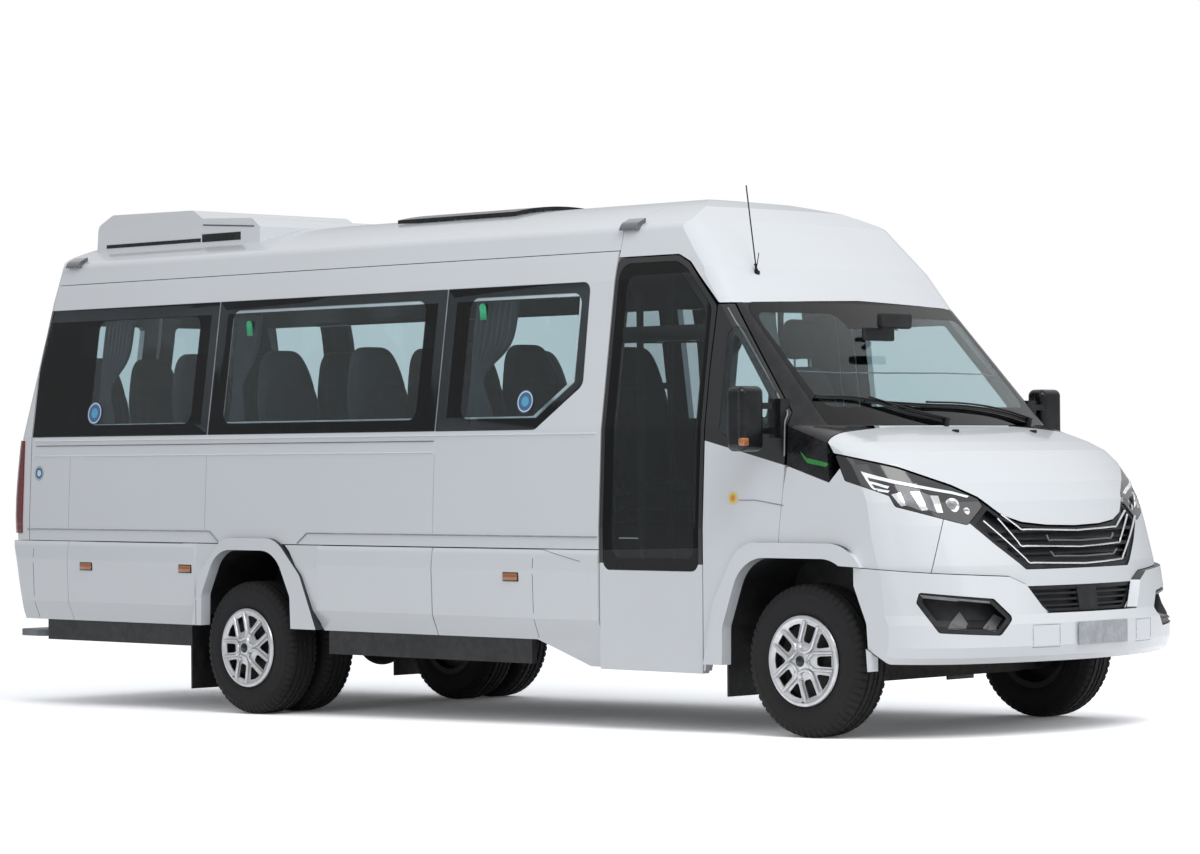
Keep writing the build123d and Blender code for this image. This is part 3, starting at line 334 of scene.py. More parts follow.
class SharedEffects:
    """Builds each shared node group once and places it in materials."""

    def __init__(self) -> None:
        """Starts with no groups."""
        self.trees: dict[Effect, Tree] = {}

    def place(self, wiring: Wiring, effect: Effect, **values: Value) -> Node:
        """Puts a group in a material and fills its inputs.

        Args:
            wiring: The material's wiring.
            effect: Which group.
            **values: Its inputs by name, with _ for a space.

        Returns:
            The group node.
        """
        if effect not in self.trees:
            self.trees[effect] = getattr(self, "_" + effect.value)()
        node = wiring.add("Group", node_tree=self.trees[effect])
        wiring.fill(node, **values)
        return node

    @staticmethod
    def _start(name: str, inputs: dict[str, Optional[float]], *outputs: str) -> tuple:
        """An empty group with its sockets.

        Args:
            name: The group's name.
            inputs: Start value of each input by its name, and None for a vector.
            *outputs: The names of its values.

        Returns:
            Its wiring, its input sockets by name, and its output node.
        """
        tree = bpy.data.node_groups.new(name, "ShaderNodeTree")
        for label, value in inputs.items():
            kind = "NodeSocketVector" if value is None else "NodeSocketFloat"
            socket = tree.interface.new_socket(label, in_out="INPUT", socket_type=kind)
            if value is not None:
                socket.default_value = value
        for label in outputs:
            tree.interface.new_socket(label, in_out="OUTPUT", socket_type="NodeSocketFloat")
        wiring = Wiring(tree)
        entry = tree.nodes.new("NodeGroupInput")
        leave = tree.nodes.new("NodeGroupOutput")
        return wiring, {s.name: s for s in entry.outputs if s.name}, leave

    def _road_film(self) -> Tree:
        """A thin film of road dust that thickens downwards."""
        w, given, out = self._start("road_film", {"Vector": None, "Low": 0.2, "High": 1.0, "Amount": 0.5},
                                    "Mask")
        height = w.parts(given["Vector"])[2]
        low = w.span(height, given["Low"], given["High"], 1.0, 0.0)
        cloud = w.span(w.noise(given["Vector"], 3.1, 5.0, 0.6), 0.25, 0.8)
        speck = w.span(w.noise(given["Vector"], 60.0, 2.0), 0.35, 0.75, 0.6, 1.0)
        mask = w.times(w.times(low, cloud), w.times(speck, given["Amount"]), True)
        w.fill(out, Mask=mask)
        return w.tree

    def _paint_skin(self) -> Tree:
        """The slight waviness of large painted panels and the fine peel of their lacquer."""
        w, given, out = self._start("paint_skin", {"Vector": None, "Peel Scale": 240.0}, "Height", "Tone")
        wave = w.noise(given["Vector"], 1.7, 1.0)
        peel = w.noise(given["Vector"], given["Peel Scale"], 1.0)
        w.fill(out, Height=w.plus(w.times(wave, 0.9), w.times(peel, 0.1)))
        w.fill(out, Tone=w.noise(given["Vector"], 0.8, 2.0))
        return w.tree

    def _fine_grain(self) -> Tree:
        """Moulded grain: small rounded cells over a finer noise."""
        w, given, out = self._start("fine_grain", {"Vector": None, "Scale": 400.0}, "Height", "Tone")
        cells = w.add("TexVoronoi")
        w.fill(cells, Vector=given["Vector"], Scale=given["Scale"])
        fine = w.noise(given["Vector"], w.times(given["Scale"], 1.7), 2.0)
        w.fill(out, Height=w.plus(w.times(cells.outputs["Distance"], 0.7), w.times(fine, 0.3)))
        w.fill(out, Tone=w.noise(given["Vector"], 9.0, 4.0, 0.6))
        return w.tree

    def _cloth_weave(self) -> Tree:
        """Two sets of crossing threads with a flecked tone."""
        w, given, out = self._start("cloth_weave", {"Vector": None, "Threads": 900.0}, "Height", "Tone")
        turned = w.add("Mapping")
        turned.inputs["Rotation"].default_value = (0.2, 0.35, 0.6)
        w.feed(turned.inputs["Vector"], given["Vector"])
        axes = w.parts(turned.outputs[0])
        warp = w.math("SINE", w.times(axes[0], given["Threads"]))
        weft = w.math("SINE", w.times(w.plus(axes[1], axes[2]), given["Threads"]))
        w.fill(out, Height=w.plus(w.times(w.times(warp, weft), 0.5), 0.5))
        fleck = w.noise(given["Vector"], 260.0, 2.0)
        w.fill(out, Tone=w.plus(w.times(w.noise(given["Vector"], 7.0, 3.0), 0.5), w.times(fleck, 0.5)))
        return w.tree

    def _edge_wear(self) -> Tree:
        """A broken line along worn edges, found from the surface's pointiness."""
        w, given, out = self._start("edge_wear", {"Vector": None, "Amount": 0.5}, "Mask")
        edge = w.span(w.add("NewGeometry").outputs["Pointiness"], 0.52, 0.60)
        worn = w.span(w.noise(given["Vector"], 22.0, 6.0, 0.7), 0.42, 0.62)
        w.fill(out, Mask=w.times(w.times(edge, worn), given["Amount"], True))
        return w.tree

    def _rounded_area(self) -> Tree:
        """1 inside an upright rectangle with round corners, read on two coordinates, and 0 outside it."""
        w, given, out = self._start("rounded_area",
                                    {"Across": 0.0, "Up": 0.0, "Middle Across": 0.0, "Middle Up": 0.0,
                                     "Half Across": 0.5, "Half Up": 0.3, "Corner": 0.05}, "Mask")
        outs = []
        for axis in ("Across", "Up"):
            away = w.math("ABSOLUTE", w.math("SUBTRACT", given[axis], given["Middle " + axis]))
            inner = w.math("SUBTRACT", given["Half " + axis], given["Corner"])
            outs.append(w.math("SUBTRACT", away, inner))
        past = [w.math("MAXIMUM", a, 0.0) for a in outs]
        corner = w.math("SQRT", w.plus(w.math("POWER", past[0], 2.0), w.math("POWER", past[1], 2.0)))
        flat = w.math("MINIMUM", w.math("MAXIMUM", outs[0], outs[1]), 0.0)
        distance = w.math("SUBTRACT", w.plus(corner, flat), given["Corner"])
        w.fill(out, Mask=w.span(distance, -0.003, 0.003, 1.0, 0.0))
        return w.tree

    def _inner_face(self) -> Tree:
        """1 on the faces of a shell that look towards the cabin's middle line."""
        w, given, out = self._start("inner_face", {"Vector": None, "Normal": None}, "Mask")
        x, y, z = w.parts(given["Vector"])
        nearest = w.math("MINIMUM", w.math("MAXIMUM", x, CABIN_REAR_X), 0.0)
        toward = w.add("CombineXYZ")
        w.feed(toward.inputs[0], w.math("SUBTRACT", x, nearest))
        w.feed(toward.inputs[1], y)
        w.feed(toward.inputs[2], w.math("SUBTRACT", z, CABIN_MIDDLE_Z))
        facing = w.vector("DOT_PRODUCT", toward.outputs[0], given["Normal"])
        w.fill(out, Mask=w.span(facing, -0.25, -0.12, 1.0, 0.0))
        return w.tree


# ---------------------------------------------------------------- finishes
@dataclass(frozen=True)
class Finish:
    """A surface finish that is made into one material."""

    name: str
    colour: Colour

    def start(self) -> tuple[Material, Wiring, Node]:
        """An empty material with its shader.

        Returns:
            The material, its wiring and its Principled shader.
        """
        material = bpy.data.materials.new(self.name)
        material.use_nodes = True
        material.diffuse_color = (*self.colour, 1.0)
        tree = material.node_tree
        return material, Wiring(tree), tree.nodes["Principled BSDF"]

    def make(self, effects: SharedEffects) -> Material:
        """The finish as a material."""
        raise NotImplementedError


class DarkPart(Enum):
    """Which part of a painted piece is gloss black instead of the body colour."""

    NONE = "none"
    ABOVE_BELT = "above_belt"
    ABOVE_STEP = "above_step"


@dataclass(frozen=True)
class BodyPaint(Finish):
    """Lacquered body colour outside and near black inside, painted shade of the cabin that also stands for a
    dark lining, with road dust low down.
    """

    dark: DarkPart = DarkPart.NONE
    dust: float = 0.025
    lined: bool = True

    def make(self, effects: SharedEffects) -> Material:
        """The finish as a material."""
        material, w, shader = self.start()
        point = w.body_point()
        x, _, z = w.parts(point)
        skin = effects.place(w, Effect.PAINT_SKIN, Vector=point)
        base = w.mix(w.span(skin.outputs["Tone"], 0.3, 0.7), self.colour,
                     tuple(c * 0.975 for c in self.colour))
        black = None
        if self.dark is DarkPart.ABOVE_BELT:
            line = w.math("SUBTRACT", BELT_HEIGHT, w.times(x, BELT_SLOPE))
            above = w.span(w.math("SUBTRACT", z, line), -PAINT_EDGE, PAINT_EDGE)
            black = w.times(above, w.span(x, BELT_FROM_X, BELT_FROM_X + 0.002))
        elif self.dark is DarkPart.ABOVE_STEP:
            black = w.span(z, STEP_HEIGHT, STEP_HEIGHT + 0.002)
        if black is not None:
            base = w.mix(black, base, (0.006, 0.0065, 0.008))
        film = effects.place(w, Effect.ROAD_FILM, Vector=point, Low=0.28, High=0.85, Amount=self.dust)
        base = w.mix(film.outputs["Mask"], base, (0.36, 0.34, 0.31))
        rough = w.plus(0.26, w.times(film.outputs["Mask"], 0.2))
        # The shell's inner faces are painted near black: painted shade inside the cabin, which also stands
        # for a dark lining.
        if self.lined:
            inner = effects.place(w, Effect.INNER_FACE, Vector=point,
                                  Normal=w.add("TexCoord").outputs["Normal"])
            grain = w.noise(point, 160.0, 4.0, 0.7)
            inner_shade_colour = w.mix(grain, (0.011, 0.0115, 0.013), (0.018, 0.0185, 0.021))
            base = w.mix(inner.outputs["Mask"], base, inner_shade_colour)
            rough = w.plus(rough, w.times(inner.outputs["Mask"], 0.5), True)
        w.fill(shader, Base_Color=base, Roughness=rough, Normal=w.bump(skin.outputs["Height"], 0.0016, 0.35),
               Coat_Weight=0.5, Coat_Roughness=0.05)
        return material


@dataclass(frozen=True)
class Pane:
    """A clear area in a blacked-out sheet of glass, on two coordinates."""

    low: Pair
    high: Pair
    corner: float = 0.06


@dataclass(frozen=True)
class WindowGlass(Finish):
    """Tinted glass with a printed black border round its clear areas."""

    across: int = 0
    panes: tuple[Pane, ...] = ()
    far_panes: tuple[Pane, ...] = ()
    cut: Optional[tuple[float, float, float]] = None
    border: Colour = (0.004, 0.0045, 0.005)

    def make(self, effects: SharedEffects) -> Material:
        """The finish as a material; cut is a x + b z <= c, where the clear area ends."""
        material, w, shader = self.start()
        point = w.body_point()
        axes = w.parts(point)
        clear = None
        near = w.math("LESS_THAN", axes[1], 0.0) if self.far_panes else None
        for pane in self.panes + self.far_panes:
            area = effects.place(
                w, Effect.ROUNDED_AREA, Across=axes[self.across], Up=axes[2],
                Middle_Across=(pane.low[0] + pane.high[0]) / 2, Middle_Up=(pane.low[1] + pane.high[1]) / 2,
                Half_Across=(pane.high[0] - pane.low[0]) / 2, Half_Up=(pane.high[1] - pane.low[1]) / 2,
                Corner=pane.corner)
            mask = area.outputs["Mask"]
            if near is not None:
                on = near if pane in self.panes else w.math("SUBTRACT", 1.0, near)
                mask = w.times(mask, on)
            clear = mask if clear is None else w.math("MAXIMUM", clear, mask)
        tone = w.mix(w.noise(point, 1.3, 2.0), self.colour, tuple(c * 0.94 for c in self.colour))
        if clear is not None:
            if self.cut is not None:
                a, b, c = self.cut
                line = w.plus(w.times(axes[self.across], a), w.times(axes[2], b))
                kept = w.math("MAXIMUM", w.span(line, c - 0.002, c + 0.002, 1.0, 0.0),
                              w.span(axes[0], CAB_PANE_FROM_X, CAB_PANE_FROM_X + 0.05))
                clear = w.times(clear, kept)
            inner = effects.place(w, Effect.INNER_FACE, Vector=point,
                                  Normal=w.add("TexCoord").outputs["Normal"])
            tone = w.mix(w.math("MAXIMUM", clear, inner.outputs["Mask"]), self.border, tone)
        w.fill(shader, Base_Color=tone)
        smear = w.span(w.noise(point, 5.0, 5.0, 0.65), 0.5, 0.85, 0.0, 0.035)
        w.fill(shader, Roughness=smear, Transmission_Weight=1.0, IOR=1.33, Specular_IOR_Level=0.22)
        return material


@dataclass(frozen=True)
class Plastic(Finish):
    """Moulded plastic with its grain, paler where it is rubbed."""

    roughness: float = 0.45
    grain: float = 420.0
    depth: float = 0.0004
    dust: float = 0.12
    coat: float = 0.0
    shine: float = 0.32

    def make(self, effects: SharedEffects) -> Material:
        """The finish as a material."""
        material, w, shader = self.start()
        point = w.body_point()
        grain = effects.place(w, Effect.FINE_GRAIN, Vector=point, Scale=self.grain)
        pale = tuple(min(c * 1.5 + 0.008, 1.0) for c in self.colour)
        base = w.mix(w.span(grain.outputs["Tone"], 0.35, 0.75), self.colour, pale)
        wear = effects.place(w, Effect.EDGE_WEAR, Vector=point, Amount=0.25)
        base = w.mix(wear.outputs["Mask"], base, tuple(min(c * 2.2 + 0.03, 1.0) for c in self.colour))
        film = effects.place(w, Effect.ROAD_FILM, Vector=point, Low=0.2, High=0.9, Amount=self.dust)
        base = w.mix(film.outputs["Mask"], base, (0.20, 0.185, 0.165))
        w.fill(shader, Base_Color=base)
        spread = w.times(grain.outputs["Tone"], 0.12)
        w.fill(shader, Roughness=w.plus(self.roughness - 0.06, spread, True),
               Normal=w.bump(grain.outputs["Height"], self.depth, 0.5), Specular_IOR_Level=self.shine,
               Coat_Weight=self.coat, Coat_Roughness=0.06)
        return material


@dataclass(frozen=True)
class Metal(Finish):
    """Painted, plated or cast metal with fine streaks and worn edges."""

    roughness: float = 0.3
    metallic: float = 1.0
    streak: float = 60.0
    dust: float = 0.3
    relief: float = 0.0003

    def make(self, effects: SharedEffects) -> Material:
        """The finish as a material."""
        material, w, shader = self.start()
        point = w.object_point()
        stretched = w.add("Mapping")
        stretched.inputs["Scale"].default_value = (1.0, 6.0, 1.0)
        w.feed(stretched.inputs["Vector"], point)
        cloud = w.noise(stretched.outputs[0], self.streak, 4.0, 0.6)
        base = w.mix(w.span(cloud, 0.3, 0.7), self.colour, tuple(c * 0.8 for c in self.colour))
        wear = effects.place(w, Effect.EDGE_WEAR, Vector=point, Amount=0.35)
        base = w.mix(wear.outputs["Mask"], base, tuple(min(c * 1.35 + 0.02, 1.0) for c in self.colour))
        film = effects.place(w, Effect.ROAD_FILM, Vector=point, Low=0.15, High=0.8, Amount=self.dust)
        base = w.mix(film.outputs["Mask"], base, (0.16, 0.145, 0.125))
        w.fill(shader, Base_Color=base, Roughness=w.plus(self.roughness, w.times(cloud, 0.15), True),
               Normal=w.bump(cloud, self.relief, 0.4), Metallic=self.metallic)
        return material


@dataclass(frozen=True)
class Rubber(Finish):
    """Dull rubber with a brownish bloom and fine scuffs."""

    bloom: float = 0.35
    roughness: float = 0.72

    def make(self, effects: SharedEffects) -> Material:
        """The finish as a material."""
        material, w, shader = self.start()
        point = w.object_point()
        grain = effects.place(w, Effect.FINE_GRAIN, Vector=point, Scale=700.0)
        scuff = w.span(w.noise(point, 38.0, 6.0, 0.75), 0.48, 0.72)
        base = w.mix(w.times(scuff, self.bloom), self.colour, (0.055, 0.052, 0.048))
        film = effects.place(w, Effect.ROAD_FILM, Vector=point, Low=0.02, High=0.75, Amount=self.bloom)
        base = w.mix(film.outputs["Mask"], base, (0.075, 0.068, 0.060))
        w.fill(shader, Base_Color=base, Roughness=w.plus(self.roughness, w.times(scuff, 0.15), True),
               Normal=w.bump(grain.outputs["Height"], 0.0006, 0.6), Specular_IOR_Level=0.3)
        return material


@dataclass(frozen=True)
class Cloth(Finish):
    """Woven cloth with a soft sheen."""

    threads: float = 1400.0
    relief: float = 0.0008
    second: Colour = (0.05, 0.06, 0.09)

    def make(self, effects: SharedEffects) -> Material:
        """The finish as a material."""
        material, w, shader = self.start()
        point = w.object_point()
        weave = effects.place(w, Effect.CLOTH_WEAVE, Vector=point, Threads=self.threads)
        base = w.mix(w.span(weave.outputs["Tone"], 0.35, 0.65), self.colour, self.second)
        w.fill(shader, Base_Color=base, Normal=w.bump(weave.outputs["Height"], self.relief, 0.6),
               Roughness=0.9, Sheen_Weight=0.08, Sheen_Roughness=0.5)
        return material


@dataclass(frozen=True)
class Lamp(Finish):
    """Lamp lens or light strip: clear-coated, with moulded flutes whose troughs are painted darker as shade,
    and an optional glow.
    """

    glow: float = 0.0
    flutes: float = 190.0
    roughness: float = 0.12

    def make(self, effects: SharedEffects) -> Material:
        """The finish as a material."""
        material, w, shader = self.start()
        point = w.body_point()
        z = w.parts(point)[2]
        # The flute troughs are painted darker as shade, mixed with a random tone.
        flute = w.plus(w.times(w.math("SINE", w.times(z, self.flutes)), 0.5), 0.5)
        flute_shade_and_tone = w.plus(w.times(flute, 0.5), w.times(w.noise(point, 30.0, 2.0), 0.5))
        base = w.mix(flute_shade_and_tone, tuple(c * 0.72 for c in self.colour), self.colour)
        w.fill(shader, Base_Color=base, Normal=w.bump(flute, 0.0006, 0.4), Roughness=self.roughness,
               Coat_Weight=0.8, Coat_Roughness=0.03)
        if self.glow:
            w.fill(shader, Emission_Color=base, Emission_Strength=self.glow)
        return material


@dataclass(frozen=True)
class Decal(Finish):
    """Printed film: a round badge of plain rings, without signs or words."""

    middle: Point = (0.0, 0.0, 0.0)
    radius: float = 0.05
    ring: Colour = (0.85, 0.87, 0.88)
    core: Optional[Colour] = None

    def make(self, effects: SharedEffects) -> Material:
        """The finish as a material."""
        material, w, shader = self.start()
        point = w.body_point()
        away = w.vector("LENGTH", w.vector("SUBTRACT", point, self.middle))
        share = w.math("DIVIDE", away, self.radius)
        base = w.mix(w.span(share, 0.80, 0.83), self.colour, self.ring)
        base = w.mix(w.span(share, 0.90, 0.93), base, self.colour)
        if self.core is not None:
            base = w.mix(w.span(share, 0.42, 0.47, 1.0, 0.0), base, self.core)
        worn = w.noise(point, 90.0, 3.0)
        w.fill(shader, Base_Color=w.mix(w.times(worn, 0.12), base, (0.5, 0.5, 0.5)),
               Roughness=w.plus(0.25, w.times(worn, 0.2)))
        return material


@dataclass(frozen=True)
class StudioFloor(Finish):
    """Pale floor that the camera sees as white where nothing shades it."""

    bounce: Colour = (0.62, 0.62, 0.62)
    lift: float = 0.03

    def make(self, effects: SharedEffects) -> Material:
        """The finish as a material."""
        material, w, shader = self.start()
        rays = w.add("LightPath")
        seen = w.math("MAXIMUM", rays.outputs["Is Camera Ray"],
                      w.math("MAXIMUM", rays.outputs["Is Glossy Ray"], rays.outputs["Is Transmission Ray"]))
        w.fill(shader, Base_Color=w.mix(seen, self.bounce, self.colour),
               Emission_Color=w.mix(seen, (0, 0, 0), (1, 1, 1)), Emission_Strength=self.lift, Roughness=0.95,
               Specular_IOR_Level=0.0)
        return material


class Look(Enum):
    """Every finish of the vehicle, by what it covers."""

    PAINT = BodyPaint("body_paint", (0.790, 0.822, 0.855))
    PAINT_CAB = BodyPaint("cab_side_paint", (0.790, 0.822, 0.855), DarkPart.ABOVE_BELT)
    PAINT_ENTRY = BodyPaint("entry_door_paint", (0.790, 0.822, 0.855), DarkPart.ABOVE_STEP)
    PAINT_ROOF_UNIT = BodyPaint("roof_unit_paint", (0.815, 0.84, 0.865), lined=False)
    SIDE_WINDOW = WindowGlass(
        "side_window_glass", (0.64, 0.75, 0.775), 0,
        (Pane((-5.57, 1.565), (-4.64, 2.175)), Pane((-4.355, 1.56), (-2.755, 2.195)),
         Pane((-2.41, 1.56), (-1.585, 2.195)), Pane((-0.60, 1.40), (-0.20, 2.05))),
        (Pane((-5.58, 2.036), (-4.85, 2.135), 0.02), Pane((-5.58, 1.60), (-4.85, 1.958), 0.02),
         Pane((-4.34, 2.040), (-3.38, 2.185), 0.02), Pane((-4.34, 1.60), (-3.38, 1.965), 0.02),
         Pane((-2.41, 1.56), (-1.585, 2.195))), (0.2218, -0.318, -0.9050))
    ENTRY_WINDOW = WindowGlass("entry_door_glass", (0.40, 0.47, 0.49), 0,
                               (Pane((-1.27, 0.85), (-0.70, 2.27)),))
    CAB_WINDOW = WindowGlass("cab_door_glass", (0.66, 0.76, 0.78), 0, (Pane((-1.14, 1.40), (-0.30, 2.00)),))
    FRONT_WINDOW = WindowGlass(
        "windscreen_glass", (0.56, 0.69, 0.72), 1,
        (Pane((-0.785, 1.590), (-0.245, 2.062)), Pane((-0.28, 1.590), (0.18, 1.985)),
         Pane((0.14, 1.590), (0.785, 2.050))))
    REAR_WINDOW = WindowGlass(
        "rear_window_glass", (0.55, 0.66, 0.69), 1,
        (Pane((-0.56, 1.57), (-0.15, 2.13)), Pane((0.15, 1.57), (0.56, 2.13))))
    GLOSS_BLACK = Plastic("gloss_black_trim", (0.006, 0.0065, 0.008), 0.2, 500.0, 0.00005, 0.02, 0.25, 0.25)
    BLACK_PLASTIC = Plastic("grained_black_plastic", (0.009, 0.0095, 0.011), 0.42)
    DARK_TRIM = Plastic("dark_cabin_trim", (0.009, 0.0095, 0.011), 0.6, 300.0, 0.0006, 0.0)
    GREY_PLASTIC = Plastic("grey_plastic", (0.17, 0.178, 0.19), 0.5)
    # Dark shut lines, and painted shade inside the belt groove and the roof unit's groove.
    SHADOW_LINE = Plastic("shut_line_and_groove_shade", (0.085, 0.09, 0.10), 0.6, 500.0, 0.0002, 0.1)
    MOULDING = Plastic("side_moulding", (0.23, 0.243, 0.265), 0.35, 500.0, 0.0001, 0.1, 0.2)
    WALKWAY = Plastic("floor_covering", (0.045, 0.047, 0.052), 0.75, 240.0, 0.0010, 0.05)
    BRIGHT_BAR = Metal("bright_grille_bar", (0.72, 0.74, 0.76), 0.18, 1.0, 25.0, 0.05)
    DULL_BAR = Metal("dark_grille_bar", (0.16, 0.165, 0.175), 0.35, 0.8, 25.0, 0.05)
    CHROME = Metal("lamp_reflector", (0.78, 0.79, 0.80), 0.08, 1.0, 12.0, 0.0)
    WHEEL_SILVER = Metal("wheel_trim_silver", (0.60, 0.61, 0.625), 0.26, 0.75, 18.0, 0.18)
    # Near-black steel wheel, also the painted shade behind the wheel trim.
    WHEEL_STEEL = Metal("wheel_disc_black_and_shade", (0.018, 0.018, 0.020), 0.5, 0.3)
    CHASSIS = Metal("chassis_paint", (0.012, 0.012, 0.013), 0.55, 0.1, 30.0, 0.15)
    CASTING = Metal("cast_iron", (0.030, 0.029, 0.028), 0.65, 0.5, 120.0, 0.3, 0.0008)
    BARE_STEEL = Metal("bare_steel", (0.42, 0.43, 0.44), 0.35)
    TYRE = Rubber("tyre_rubber_black", (0.0075, 0.0075, 0.0085), 0.14)
    SEAL = Rubber("door_seal", (0.012, 0.012, 0.013), 0.1, 0.6)
    SEAT = Cloth("seat_cover", (0.014, 0.0155, 0.020), 1400.0, 0.0008, (0.024, 0.027, 0.036))
    CURTAIN = Cloth("curtain_cloth", (0.085, 0.09, 0.105), 900.0, 0.0006, (0.055, 0.06, 0.072))
    LAMP_DARK = Lamp("headlamp_housing", (0.020, 0.021, 0.024), 0.0, 40.0, 0.12)
    LED = Lamp("light_strip", (0.86, 0.90, 0.93), 0.35, 300.0)
    LENS = Lamp("projector_lens", (0.33, 0.35, 0.37), 0.0, 20.0, 0.03)
    AMBER = Lamp("amber_lens", (0.50, 0.155, 0.028), 0.0, 420.0)
    RED = Lamp("red_lens", (0.20, 0.008, 0.014), 0.0, 160.0)
    GREY_LENS = Lamp("smoked_lens", (0.115, 0.125, 0.145), 0.0, 200.0)
    PLATE = Metal("blank_plate", (0.43, 0.45, 0.475), 0.4, 0.1, 14.0, 0.0)
    PLATE_RIM = Metal("plate_border", (0.62, 0.63, 0.64), 0.35, 0.2, 200.0, 0.05)
    GREEN = Plastic("green_film", (0.035, 0.36, 0.165), 0.4, 500.0, 0.0001, 0.0)
    LEAF_GREEN = Plastic("green_stripe", (0.030, 0.215, 0.045), 0.35, 500.0, 0.0001, 0.0)
    FLOOR = StudioFloor("studio_floor", (1.95, 1.95, 1.95))


class Paintbox:
    """Makes each finish's material the first time that it is asked for."""

    def __init__(self) -> None:
        """Starts with no materials."""
        self.effects = SharedEffects()
        self.made: dict[str, Material] = {}

    def get(self, look: Union[Look, Finish]) -> Material:
        """The material of a finish.

        Args:
            look: A named look, or a finish of one piece's own.

        Returns:
            Its material.
        """
        finish = look.value if isinstance(look, Look) else look
        if finish.name not in self.made:
            self.made[finish.name] = finish.make(self.effects)
        return self.made[finish.name]


